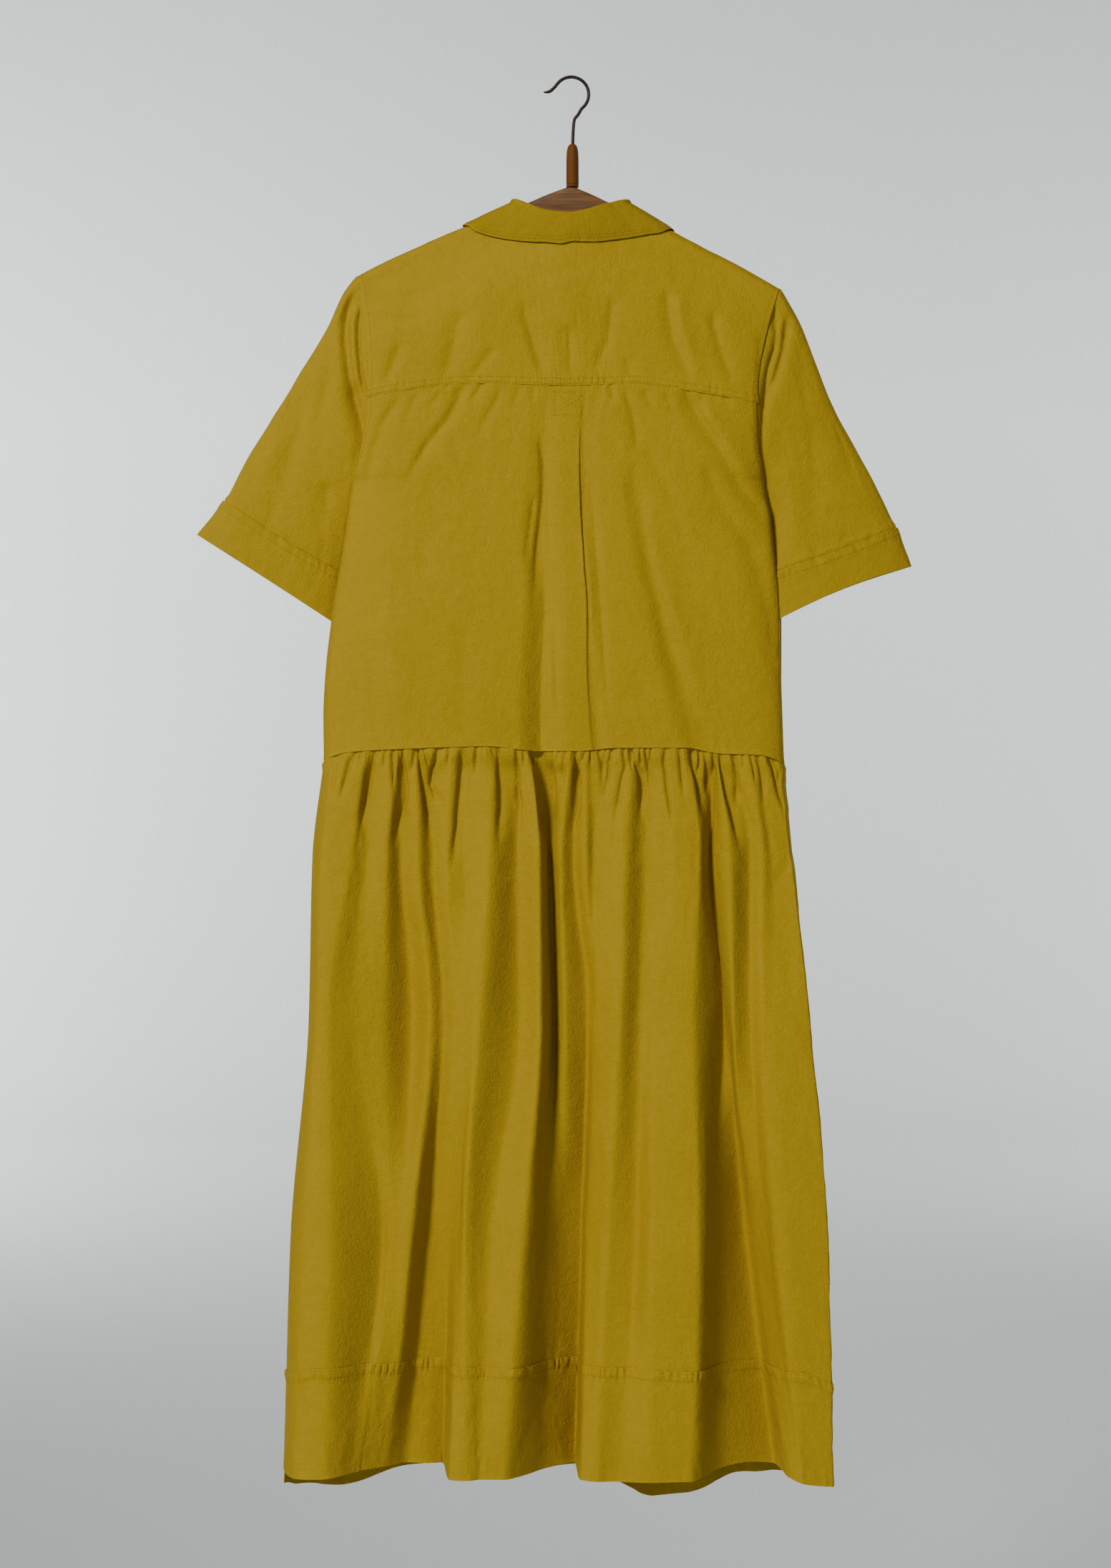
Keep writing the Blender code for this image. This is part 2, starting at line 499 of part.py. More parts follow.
def collar(u, v):
    """The collar's leaf: up inside the fold, over it and down to the edge."""
    turn = u * COLLAR[-1].turn
    x, y, z, out_x, out_y = collar_fold(turn)
    edge_x, run = read(COLLAR, "turn", "edge_x", turn), read(COLLAR, "turn", "edge_run", turn)
    face = np.where(run > 0, 1, -1)
    lean = np.minimum(np.abs(run) / RIDGE_ROUND, pi / 2)
    edge_z = shoulder(edge_x) - over_ridge(run)
    edge_depth = np.where(run > 0, depth(edge_x, edge_z, "front"), depth(edge_x, edge_z, "back"))
    edge_y = face * (edge_depth + COLLAR_LIFT * np.sin(lean))
    edge_z = edge_z + COLLAR_LIFT * np.cos(lean)
    swing = np.minimum(v / COLLAR_FOLD_ROW, 1) * pi
    down = np.clip((v - COLLAR_FOLD_ROW) / (1 - COLLAR_FOLD_ROW), 0, 1)
    fold_x = x - out_x * ROLL_HALF * np.cos(swing)
    fold_y = y - out_y * ROLL_HALF * np.cos(swing)
    fold_z = z - ROLL_DROP * (1 - np.sin(swing))
    return mix(fold_x, edge_x, down), mix(fold_y, edge_y, down), mix(fold_z, edge_z, down)


def collar_stand(u, v):
    """The band that carries the collar, from inside its fold down to the neckline."""
    turn = u * COLLAR[-1].turn
    x, y, z, out_x, out_y = collar_fold(turn)
    neck_x = read(COLLAR, "turn", "neck_x", turn)
    behind = (turn > SHOULDER_TURNS[0]) & (turn < SHOULDER_TURNS[1])
    neck_z = np.where(behind, read(NECKLINE, "x", "back", neck_x), read(NECKLINE, "x", "front", neck_x))
    neck_y = np.where(behind, -depth(neck_x, neck_z, "back"), depth(neck_x, neck_z, "front"))
    top_z = z - ROLL_DROP - 3 * SEAM
    foot_x, foot_y = neck_x - out_x * STAND_INSET, neck_y - out_y * STAND_INSET
    return (mix(x - out_x * ROLL_HALF, foot_x, v), mix(y - out_y * ROLL_HALF, foot_y, v),
            mix(top_z, neck_z + 2 * SEAM, v))


# ---------------------------------------------------------------- making the pieces


def add_object(name, mesh, finish, collection):
    mesh.materials.append(material(finish))
    made = bpy.data.objects.new(name, mesh)
    collection.objects.link(made)
    return made


def shell(name, columns, rows, place, wall, finish, collection, keep=None, closed=False):
    """A sheet of cloth: a grid bent into place, with its wall made by Solidify.

    columns and rows are the places of its grid lines, from 0 to 1.
    """
    sheet = bmesh.new()
    bmesh.ops.create_grid(sheet, x_segments=len(columns) - 1, y_segments=len(rows) - 1, size=0.5)
    sheet.verts.ensure_lookup_table()
    grid = np.array([vert.co for vert in sheet.verts])
    u = np.asarray(columns)[np.rint((grid[:, 0] + 0.5) * (len(columns) - 1)).astype(int)]
    v = np.asarray(rows)[np.rint((0.5 - grid[:, 1]) * (len(rows) - 1)).astype(int)]
    gone = []
    if keep:
        for face in sheet.faces:
            corners = [vert.index for vert in face.verts]
            if not keep(u[corners].mean(), v[corners].mean()):
                gone.append(face)
    for vert, spot in zip(sheet.verts, np.stack(place(u, v), axis=1) * MM):
        vert.co = spot
    bmesh.ops.delete(sheet, geom=gone, context="FACES")
    if closed:
        bmesh.ops.remove_doubles(sheet, verts=sheet.verts, dist=0.00001)
    mesh = bpy.data.meshes.new(name)
    sheet.to_mesh(mesh)
    sheet.free()
    mesh.shade_smooth()
    made = add_object(name, mesh, finish, collection)
    solid = made.modifiers.new("wall", "SOLIDIFY")
    solid.thickness = wall * MM
    solid.offset = 0.0
    return made


def even(count):
    """Places of evenly spaced grid lines."""
    return np.linspace(0, 1, count + 1)


def yoke_rows():
    """Even rows up to the neckline, then rows that follow the ridge closely."""
    start, end = -run_for(NECK_FALL), run_for(FRONT_YOKE)
    over = [NECK_ROW + (1 - NECK_ROW) * (run - start) / (end - start) for run in RIDGE_RUNS]
    return [*np.linspace(0, NECK_ROW, 6), *over, 1]


def collar_columns():
    """Columns of the collar and its stand, closer together where they cross the shoulder ridge."""
    last = COLLAR[-1].turn
    turns = [*COLLAR_TURNS, last / 2, *(last - turn for turn in reversed(COLLAR_TURNS))]
    return [turn / last for turn in turns]


def on_folds(folds):
    """Places of grid lines on each fold line of a table, and half way between those further apart."""
    cloth = np.array([row.cloth for row in folds], float)
    midway = (cloth[1:] + cloth[:-1])[np.diff(cloth) > MIDWAY] / 2
    return np.sort(np.concatenate([cloth, midway])) / cloth[-1]


def turned(name, profile, steps, finish, collection):
    """A turned piece: its profile, in x and z, spun about the z axis."""
    mesh = bpy.data.meshes.new(name)
    mesh.from_pydata([(x * MM, 0, z * MM) for x, z in profile],
                     [(i, i + 1) for i in range(len(profile) - 1)], [])
    made = add_object(name, mesh, finish, collection)
    spin = made.modifiers.new("spin", "SCREW")
    spin.steps = spin.render_steps = steps
    spin.use_merge_vertices = True
    spin.merge_threshold = 0.00001
    spin.use_smooth_shade = True
    return made


def cloth_pieces(collection):
    def cloth(name, columns, rows, place, wall=CLOTH, **more):
        shell(name, columns, rows, place, wall, "mustard cotton", collection, **more)

    cloth("yoke", even(22), yoke_rows(), yoke, keep=outside_neck)
    cloth("back_panel", on_folds(BACK_CREASES), BACK_ROWS, back_panel)
    cloth("front_left", FRONT_COLUMNS, FRONT_ROWS, front_panel("left"))
    cloth("front_right", FRONT_COLUMNS, FRONT_ROWS, front_panel("right"))
    cloth("button_placket", even(2), FRONT_ROWS, placket, DOUBLE)
    cloth("collar_stand", collar_columns(), even(1), collar_stand)
    cloth("collar", collar_columns(), COLLAR_ROWS, collar)
    for side in ("left", "right"):
        sleeve = tube(side, 0, CUFF_START - CUFF_GAP)
        cuff = tube(side, CUFF_START + CUFF_GAP, CUFF_END, grow=CUFF_PROUD)
        cloth("sleeve_" + side, even(TUBE_COLUMNS), SLEEVE_ROWS, sleeve, closed=True)
        cloth("cuff_" + side, even(TUBE_COLUMNS), even(1), cuff, DOUBLE, closed=True)
    for name, folds, face, waist, band_seam, hem in (
            ("back", BACK_FOLDS, -1, WAIST_SEAM, BAND_SEAM_BACK, HEM_BACK),
            ("front", FRONT_FOLDS, 1, WAIST_SEAM_FRONT, BAND_SEAM_FRONT, HEM_FRONT)):
        columns = on_folds(folds)
        cloth("skirt_" + name, columns, SKIRT_ROWS, hanging(folds, face, WAIST, BAND_TOP, waist, band_seam))
        cloth("hem_band_" + name, columns, even(1), hanging(folds, face, BAND_TOP, HEM, band_seam, hem), DOUBLE)


def buttons(collection):
    """A row of turned buttons down the strip."""
    rim, dish = BUTTON_THICK / 2, BUTTON_THICK / 4
    profile = [(0, dish), (BUTTON_RADIUS * 0.6, dish), (BUTTON_RADIUS * 0.8, rim),
               (BUTTON_RADIUS * 0.94, rim * 0.8), (BUTTON_RADIUS, 0), (BUTTON_RADIUS * 0.9, -rim), (0, -rim)]
    for number, z in enumerate(np.linspace(NECK_FRONT - BUTTON_FIRST, WAIST + BUTTON_LAST, BUTTONS), 1):
        height = np.array([z])
        x = centre_front(height)
        y = depth(x, height, "front") + PLACKET_PROUD + DOUBLE / 2 + SEAM + rim
        made = turned("button_%d" % number, profile, 12, "horn button", collection)
        made.rotation_euler = (-pi / 2, 0, 0)
        made.location = (x[0] * MM, y[0] * MM, z * MM)


def hanger_board(collection):
    """The wooden arms: an outline a little below the shoulder line, extruded and rounded."""
    left, right = SHOULDER[0].x + BOARD_END, SHOULDER[-1].x - BOARD_END
    x = mix(left, right, even(18))
    top = shoulder(x) - BOARD_UNDER
    foot = top - mix(BOARD_HEIGHT[0], BOARD_HEIGHT[1], ease(np.abs(x) / right))
    outline = list(zip(x, top)) + list(zip(x, foot))[::-1]
    board = bmesh.new()
    rim = [board.verts.new((px * MM, -BOARD_THICK / 2 * MM, pz * MM)) for px, pz in outline]
    face = board.faces.new(rim)
    extruded = bmesh.ops.extrude_face_region(board, geom=[face])
    moved = [item for item in extruded["geom"] if isinstance(item, bmesh.types.BMVert)]
    bmesh.ops.translate(board, verts=moved, vec=(0, BOARD_THICK * MM, 0))
    bmesh.ops.recalc_face_normals(board, faces=board.faces)
    mesh = bpy.data.meshes.new("hanger_board")
    board.to_mesh(mesh)
    board.free()
    made = add_object("hanger_board", mesh, "walnut", collection)
    rounding = made.modifiers.new("rounding", "BEVEL")
    rounding.width = BOARD_ROUND * MM
    rounding.segments = 3
    rounding.limit_method = "ANGLE"
    rounding.angle_limit = 0.8


def hanger_stem(collection):
    """The turned stem, bored for the hook's wire."""
    bore = WIRE_RADIUS + STEM_BORE_ROOM
    bore_foot = HOOK_SHANK[-1].z - 1
    profile = [(0, bore_foot), (bore, bore_foot), (bore, STEM_TOP - 0.6), (bore + 0.6, STEM_TOP),
               (STEM_RADIUS - 1.3, STEM_TOP - 0.8), (STEM_RADIUS - 0.3, STEM_TOP - 3.5), (STEM_RADIUS, -85),
               (STEM_RADIUS, STEM_FOOT + 4), (STEM_RADIUS + 0.7, STEM_FOOT + 3),
               (STEM_RADIUS + 0.7, STEM_FOOT), (0, STEM_FOOT)]
    stem = turned("hanger_stem", profile, 20, "beech stem", collection)
    stem.location.x = HOOK_SHANK[-1].x * MM


def hanger_hook(collection):
    """The iron wire: a short tip, a bow about the mount and a shank down into the stem."""
    start, end = HOOK_TURN
    bow_z = WIRE_RADIUS - HOOK_RADIUS
    bow = [(HOOK_RADIUS * cos(a * pi / 180), bow_z + HOOK_RADIUS * sin(a * pi / 180))
           for a in np.linspace(start, end, 22)]
    route = np.array([(p.x, p.z) for p in HOOK_TIP] + bow + [(p.x, p.z) for p in HOOK_SHANK])
    run = np.concatenate([[0], np.cumsum(np.hypot(*np.diff(route, axis=0).T))])
    steps = np.linspace(0, run[-1], 44)
    wire = bpy.data.curves.new("hanger_hook", "CURVE")
    wire.dimensions = "3D"
    wire.bevel_depth = WIRE_RADIUS * MM
    wire.bevel_resolution = 2
    wire.use_fill_caps = True
    path = wire.splines.new("POLY")
    path.points.add(len(steps) - 1)
    path.use_smooth = True
    xs, zs = (smooth_curve(run, route[:, axis], steps) for axis in (0, 1))
    for point, x, z in zip(path.points, xs, zs):
        point.co = (x * MM, 0, z * MM, 1)
    for point, size in zip(path.points, (0.45, 0.75, 0.93)):
        point.radius = size
    add_object("hanger_hook", wire, "black iron", collection)


def main():
    for old in list(bpy.data.objects):
        bpy.data.objects.remove(old)
    collection = bpy.data.collections.new("shirt_dress")
    bpy.context.scene.collection.children.link(collection)
    cloth_pieces(collection)
    buttons(collection)
    hanger_board(collection)
    hanger_stem(collection)
    hanger_hook(collection)


main()
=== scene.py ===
"""A shirt dress on its hanger: cloth, stitches, buttons, hanger and a plain stage.

Laid out as an add-on. The tables are in millimetres and MM turns them into metres; settings are in metres.
The dress hangs from the hook at the origin, with its back towards -Y and its buttoned front towards +Y.
"""

from collections import namedtuple
from functools import cache
from math import cos, pi, sin

import bmesh
import bpy
import numpy as np
from bpy.props import FloatProperty, FloatVectorProperty, PointerProperty
from bpy.types import Operator, Panel, PropertyGroup
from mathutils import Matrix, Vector


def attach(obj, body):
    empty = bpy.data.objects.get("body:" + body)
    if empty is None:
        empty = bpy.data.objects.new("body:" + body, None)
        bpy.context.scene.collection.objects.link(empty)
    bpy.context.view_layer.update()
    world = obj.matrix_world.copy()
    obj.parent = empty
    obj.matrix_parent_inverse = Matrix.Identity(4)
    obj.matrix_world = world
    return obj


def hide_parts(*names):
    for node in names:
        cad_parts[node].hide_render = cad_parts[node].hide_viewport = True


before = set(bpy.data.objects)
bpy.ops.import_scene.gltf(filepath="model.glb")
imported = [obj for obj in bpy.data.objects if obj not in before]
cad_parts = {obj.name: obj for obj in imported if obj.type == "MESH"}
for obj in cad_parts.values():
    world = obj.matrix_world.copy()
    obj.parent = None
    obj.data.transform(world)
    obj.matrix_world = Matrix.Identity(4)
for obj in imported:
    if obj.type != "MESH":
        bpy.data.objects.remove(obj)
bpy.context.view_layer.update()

bl_info = {
    "name": "Shirt Dress",
    "version": (1, 0, 0),
    "blender": (4, 5, 0),
    "location": "View3D > Sidebar > Dress",
    "description": "Makes a gathered shirt dress on a wooden hanger, with its stitches and buttons",
    "category": "Add Mesh",
}

MM = 0.001
TINY = 1e-6
NOISE_GRID = 256        # bumps after which the noise repeats

# ---------------------------------------------------------------- the dress's form, in millimetres

RIDGE_ROUND = 9.0       # radius of the cloth over the hanger's arms
GROWTH = 80.0           # distance below the ridge in which the body reaches its full depth
WAIST = -640.0          # mean height of the waist seam
BAND_TOP = -1214.0      # mean height of the hem band's seam
HEM = -1318.0           # mean height of the hem
FRONT_YOKE = 25.0       # how far below the ridge the front yoke seam lies
NECK_FALL = 22.0        # how far below the ridge the back neckline turns in from the shoulder
NECK_FRONT = -198.0     # height of the neckline at the front
NECK_CORNER = 50.0      # half width of the neckline where the yoke starts to run up to the shoulder
NECK_SHOULDER = 57.0    # half width of the neckline on the shoulder ridge
NECK_BASE = 36.0        # half width, at the back seam, of the columns that rise to the neckline
NECK_OVAL = (56.0, 21.0)  # half width and half depth of the oval that the neck is taken for
CROWN_POWER = 5.0       # how flat the body lies between its sides: more is flatter
CROWN_ROUND = 0.45      # how round its sides turn: less is rounder
TUBE_POWER = 2.6        # the same for the flattened tube of a sleeve
PLACKET_HALF = 15.0     # half width of the buttoned strip
PLACKET_DRIFT = -8.0    # how far the strip hangs sideways by the waist
PLACKET_PROUD = 1.9     # how far the strip stands off the fronts
BUTTON_RADIUS = 5.7
BUTTON_THICK = 2.4
BUTTON_GAP = 0.8        # how far a button stands off the strip, on its thread
BUTTON_DISH = 0.45      # the dished middle, as a share of the button's radius and of half its thickness
HOLE_APART, HOLE_RADIUS = 0.95, 0.62  # a hole's middle from the button's, along x and y, and its radius
BUTTONS = 7
BUTTON_FIRST = 14.0     # middle of the first button below the front neckline
BUTTON_LAST = 34.0      # middle of the last button above the waist seam

BOARD_THICK = 11.0      # hanger arms, front to back
BOARD_UNDER = 2.0       # room between the yoke's middle surface and the arms' top edge
BOARD_HEIGHT = (29.0, 15.0)  # height of the arms at the middle and at the tips
BOARD_END = 11.0        # how far the arms end inside the shoulder tips
BOARD_TIP = 0.03        # share of half their length in which the tips round off
BOARD_BLUNT = 0.02 ** 0.5  # share of their section that is left at the very tips
BOARD_SQUARE = (0.42, 0.3)  # how round their section is, front to back and up: less is squarer
STEM_TOP = -62.5
STEM_FOOT = -103.3
WIRE_RADIUS = 1.5
WIRE_COAT = 0.12        # thickness of the wire's black coat
HOOK_RADIUS = 16.6      # centre line of the hook's bow
HOOK_POINT = 5.0        # length in which the tip runs to a point

# ---------------------------------------------------------------- tables, in millimetres


def table(kind, *rows):
    return [kind(*row) for row in rows]


# The shoulder line, along the top of the hanger's arms.
Point = namedtuple("Point", "x z")
SHOULDER = table(Point, (-203, -188.4), (-181, -177), (-136, -156.4), (-102, -142), (-57, -123.5),
                 (-10, -104), (0, -101.2), (10, -104.6), (57, -127), (94, -144.8), (116, -156.4),
                 (156, -177), (197, -200))

# The bodice's edges at the armholes and side seams, and how deep it is behind and before the hanger.
Section = namedtuple("Section", "z left right back front rim")
BODICE = table(
    Section,
    (-650, -235, 202, 28, 24, 0),
    (-605, -235.5, 200.5, 28, 24, 0),
    (-565, -233.5, 199.5, 28, 24, 0),
    (-516, -228, 199.5, 28, 23, 0),
    (-455, -218, 192.5, 27, 22, 0),
    (-383, -207, 184, 26, 21, 0),
    (-379, -206, 183, 26, 21, 5),
    (-370, -203.5, 181, 26, 21, 9),
    (-350, -198.5, 177.5, 25, 21, 12.5),
    (-312, -192.5, 175.5, 24, 20, 15),
    (-281, -192, 178, 23, 19, 15),
    (-242, -195, 186, 22, 18, 14),
    (-208, -199.5, 195, 22, 18, 12),
    (-188, -203, 200, 22, 17, 9),
    (-140, -203, 200, 20, 15, 9),
    (-100, -203, 200, 9, 9, 9),
)

# The neckline: its height behind and before.
Neck = namedtuple("Neck", "x back front")
NECKLINE = table(Neck, (-57, -123.5, -123.5), (-50, -142.6, -149), (-33, -151, -179), (0, -155, -198),
                 (33, -152, -181), (50, -145.9, -152), (57, -127, -127))

# Horizontal seams: the height of each along the panel.
YOKE_SEAM = table(Point, (-192, -305), (-145, -297.5), (-90, -293), (0, -295), (60, -293), (96, -297.5),
                  (177, -311))
WAIST_SEAM = table(Point, (-236, -648), (-210, -640.5), (-133, -636.5), (-79, -635), (-29, -639.5),
                   (6, -639.5), (43, -636.5), (109, -636.5), (137, -641.5), (180, -643.5), (202, -652))
WAIST_SEAM_FRONT = table(Point, (-236, -648), (-205, -642), (0, -639.5), (175, -644), (202, -652))
BAND_SEAM_BACK = table(Point, (-272, -1226), (-235, -1214), (0, -1213), (210, -1216), (244, -1228))
BAND_SEAM_FRONT = table(Point, (-272, -1227), (-232, -1245), (-130, -1230), (-40, -1232), (75, -1254),
                        (150, -1240), (244, -1229))
HEM_BACK = table(Point, (-272, -1318), (-240, -1315), (-180, -1311), (-110, -1314), (-60, -1314),
                 (0, -1314), (60, -1315), (110, -1314), (160, -1309), (200, -1314), (220, -1319),
                 (244, -1321))
HEM_FRONT = table(Point, (-272, -1333), (-262, -1341), (-240, -1345), (-205, -1340), (-150, -1327),
                  (-120, -1322), (-40, -1327), (0, -1327), (42, -1338), (59, -1348), (69, -1356),
                  (80, -1360), (106, -1354), (126, -1347), (150, -1338), (175, -1332), (193, -1328),
                  (207, -1330), (244, -1323))

# The back panel's folds: x, and how proud of the panel, at four heights.
PLEAT_HEIGHTS = (-300, -400, -520, WAIST)
Crease = namedtuple("Crease", "name cloth x proud")
BACK_CREASES = table(
    Crease,
    ("side", 0, (-192, -205, -228, -235), (0, 0, 0, 0)),
    ("side flat", 60, (-130, -145, -165, -172), (0, 0.5, 1, 1)),
    ("panel", 115, (-78, -86, -100, -108), (0, 1, 2, 2)),
    ("slope", 155, (-40, -46, -48, -51), (0, 0.7, 1.6, 1.2)),
    ("left valley", 178, (-25, -25.5, -26, -28), (0, -2, -7, -9.5)),
    ("left fold", 189, (-22, -22, -22.5, -25), (0.2, -0.9, -5.6, -8.2)),
    ("left edge", 198, (-18, -17, -17, -18), (0.5, 0.4, -1.6, -2.6)),
    ("strip", 214, (-6, -5, -3, 1), (1.4, 1.6, 1.4, 1)),
    ("right edge", 230, (8.5, 9.5, 13, 18), (0.3, 1.2, 1.2, 0.6)),
    ("right fold", 240, (10.5, 9.5, 15, 22), (0.2, -0.6, -1.4, -1.1)),
    ("right valley", 250, (14, 13, 19, 26), (0, -1.6, -2.2, -1.8)),
    ("rise", 272, (30, 30, 34, 40), (0, 0.8, 1.2, 1.2)),
    ("drag crest", 300, (52, 50, 72, 100), (0.3, 1.5, 2.5, 2)),
    ("drag valley", 316, (66, 64, 90, 118), (0, 0, -1.5, -1.5)),
    ("right flat", 370, (120, 125, 145, 158), (0, 1, 1.5, 1.5)),
    ("right brow", 414, (168, 181, 196, 199), (0, 4, 8.5, 8.5)),
    ("right side", 430, (176, 186, 199, 202), (0, 0, 0, 0)),
)

# The skirt's folds: x and y at five heights, and the length of cloth before the fold. A crest or lip stands
# out from the body, and a trough or floor goes in.
SKIRT_HEIGHTS = (WAIST, -735, -890, -1093, HEM)
Fold = namedtuple("Fold", "name x y cloth", defaults=(0,))


def laid(rows):
    """Folds with the cloth before each: the steps between them, on average over the heights."""
    x, y = np.array([row.x for row in rows]), np.array([row.y for row in rows])
    steps = np.hypot(np.diff(x, axis=0), np.diff(y, axis=0)).mean(axis=1)
    return [row._replace(cloth=round(run)) for row, run in zip(rows, [0, *np.cumsum(steps)])]


BACK_FOLDS = laid(table(
    Fold,
    ("left seam", (-235, -246, -249.5, -266.5, -272.3), (0, 0, 0, -3, -8)),
    ("left turn", (-232, -243, -247, -263, -269), (-9, -10, -11, -17, -28)),
    ("left brow", (-222, -233, -239, -250, -256), (-24, -28, -30, -40, -58)),
    ("lip 1", (-196, -208, -229, -226, -229), (-28, -33, -34, -50, -68)),
    ("floor 1", (-188, -192, -200, -179, -205), (-23, -26, -25, -25, -53)),
    ("lip 2", (-165, -173.5, -177, -171, -195), (-28, -33, -22, -31, -45)),
    ("floor 2", (-158, -160.5, -152, -162, -183), (-23, -21.5, -6, -34, -37)),
    ("lip 3", (-145, -144.5, -133, -151, -174), (-27, -31, -27, -37, -31)),
    ("floor 3", (-128.5, -131, -121, -136, -154), (-21, -20.5, -22, -13, -12)),
    ("lip 4", (-111, -115.5, -110, -127, -138), (-27, -30, -33, -14, -11)),
    ("floor 4", (-99.5, -102.5, -101, -117, -122), (-23, -27, -38, -18, -5)),
    ("crest 4", (-92, -94, -95, -106, -112), (-26, -29, -42, -34, -72)),
    ("lip 5", (-73, -76, -85, -99, -98), (-28, -36.5, -47, -47, -75)),
    ("floor 5", (-61, -51, -50, -76, -84), (-22, -21, -27, -38, -70)),
    ("lip 6", (-38, -31, -30, -46, -64), (-28, -34, -42, -56, -70)),
    ("floor 6", (-24.5, -20, -16, -22, -22), (-15, -8, -7, -22, -24)),
    ("lip 7", (0, -9.5, -5, -7, -8), (-27, -25, -24, -9, -12)),
    ("floor 7", (6.5, 1.5, 14, 9, 3), (-22, -18, -13, -1, -2)),
    ("lip 8", (14, 14.5, 23, 15, 9), (-27, -30, -26, -24, -70)),
    ("floor 8", (19, 22.5, 29, 21, 14), (-26, -27.5, -32, -32, -74)),
    ("lip 9", (57.5, 50, 46, 36, 24), (-28, -37, -44, -45, -77)),
    ("floor 9", (67.5, 69.5, 64, 58, 42), (-23, -26, -34, -41.5, -74)),
    ("crest 9", (88.5, 97, 82, 76, 77), (-28, -36, -43, -62, -78)),
    ("lip 10", (110, 119, 112, 115.5, 108), (-28, -37, -48, -66, -77)),
    ("floor 10", (133.5, 131.5, 144, 136, 140), (-15, -13, -13, -33, -38)),
    ("valley 10", (135, 136, 147, 164, 191), (-18, -20, -21, -7, -13)),
    ("lip 11", (137, 149, 152, 174, 201), (-25, -33, -38, -25, -58)),
    ("floor 11", (144, 168, 167, 183, 210), (-22, -21, -31, -41, -69)),
    ("lip 12", (167, 180, 180, 190, 216), (-27, -28, -42, -56, -71)),
    ("floor 12", (173, 189, 192, 203, 222), (-24, -25, -43, -60, -70)),
    ("right brow", (196.5, 207, 222.5, 238, 241.4), (-21, -26, -42, -60, -69)),
    ("right turn", (201.3, 210.4, 225.4, 240.4, 243.5), (-9, -10, -13, -22, -32)),
    ("right seam", (202, 211, 226, 241, 244), (0, 0, 0, -4, -10)),
))
FRONT_FOLDS = table(
    Fold,
    ("left seam", (-235, -246, -249, -264, -272), (0, 0, 0, -3, -8), 0),
    ("left turn", (-232, -243, -246.5, -261, -269), (9, 10, 11, 8, 6), 8),
    ("crest 1", (-210, -216, -224, -238, -246), (24, 30, 34, 38, 38), 40),
    ("trough 1", (-178, -182, -190, -202, -212), (21, 18, 20, 24, 24), 76),
    ("crest 2", (-148, -150, -156, -162, -166), (24, 32, 36, 42, 46), 116),
    ("trough 2", (-116, -114, -112, -112, -112), (21, 16, 18, 22, 24), 158),
    ("crest 3", (-86, -82, -76, -70, -66), (24, 32, 36, 42, 46), 200),
    ("trough 3", (-56, -52, -44, -36, -32), (21, 18, 20, 26, 28), 240),
    ("crest 4", (-22, -16, -8, 2, 8), (24, 32, 36, 42, 44), 280),
    ("trough 4", (14, 20, 28, 38, 44), (21, 16, 18, 22, 24), 322),
    ("crest 5", (48, 54, 64, 76, 84), (24, 32, 36, 44, 50), 366),
    ("trough 5", (84, 90, 100, 112, 122), (21, 18, 20, 26, 28), 408),
    ("crest 6", (118, 124, 134, 146, 158), (24, 31, 34, 40, 44), 448),
    ("trough 6", (150, 158, 168, 182, 190), (21, 18, 20, 22, 22), 488),
    ("crest 7", (178, 186, 200, 214, 218), (23, 28, 30, 34, 34), 522),
    ("right turn", (199, 208, 223, 238, 241), (9, 10, 11, 8, 6), 564),
    ("right seam", (202, 211, 226, 241, 244), (0, 0, 0, -4, -10), 572),
)

# The sleeves: the outer and the inner edge of each section from the armhole (0) to the cuff (1), half
# its thickness, and how far its middle hangs below the line between its edges.
Sleeve = namedtuple("Sleeve", "along outer_x outer_z inner_x inner_z outer_y inner_y half sag")
SLEEVES = {
    "left": table(
        Sleeve,
        (0.0, -203, -188.4, -208, -385.5, 0, 0, 14, 0),
        (0.08, -214.8, -204, -207.6, -391, 0.7, 2, 13.7, 0),
        (0.22, -229.5, -235, -207, -401, 2, 6, 13, 0),
        (0.51, -267.5, -296, -209, -428, 5, 11, 12, 1),
        (0.85, -311.5, -367.5, -211, -459, 9, 16, 10.5, 3),
        (1.0, -329, -400.5, -213, -473, 10, 18, 10, 3),
        (1.2, -354.5, -433, -216, -524, 10, 20, 10, -0.5),
    ),
    "right": table(
        Sleeve,
        (0.0, 197, -200, 185, -385.5, 0, 0, 14, 0),
        (0.16, 217, -235, 183, -396, 2, 5, 13, 0),
        (0.46, 245, -304, 185, -423, 5, 6, 12, 1),
        (0.76, 281, -370, 186, -452, 8, 1, 11, 2),
        (1.0, 308, -426, 187, -472, 10, -6, 10, 2),
        (1.2, 322.5, -463, 188, -519, 10, -8, 10, -5),
    ),
}
SLEEVE_BLEND = (0.3, 0.5)  # shares of its length in which it leaves the body's depth and the armhole's curve
SLEEVE_TUCK = 0.02      # share of its length that runs on inside the bodice, and inside the cuff
SLEEVE_OUT = 0.8        # how far its edges lie outside the armhole
ARMHOLE_IN = 1.2        # how much flatter than the body it is there, behind and before
CUFF_START, CUFF_END = 1.0, 1.2

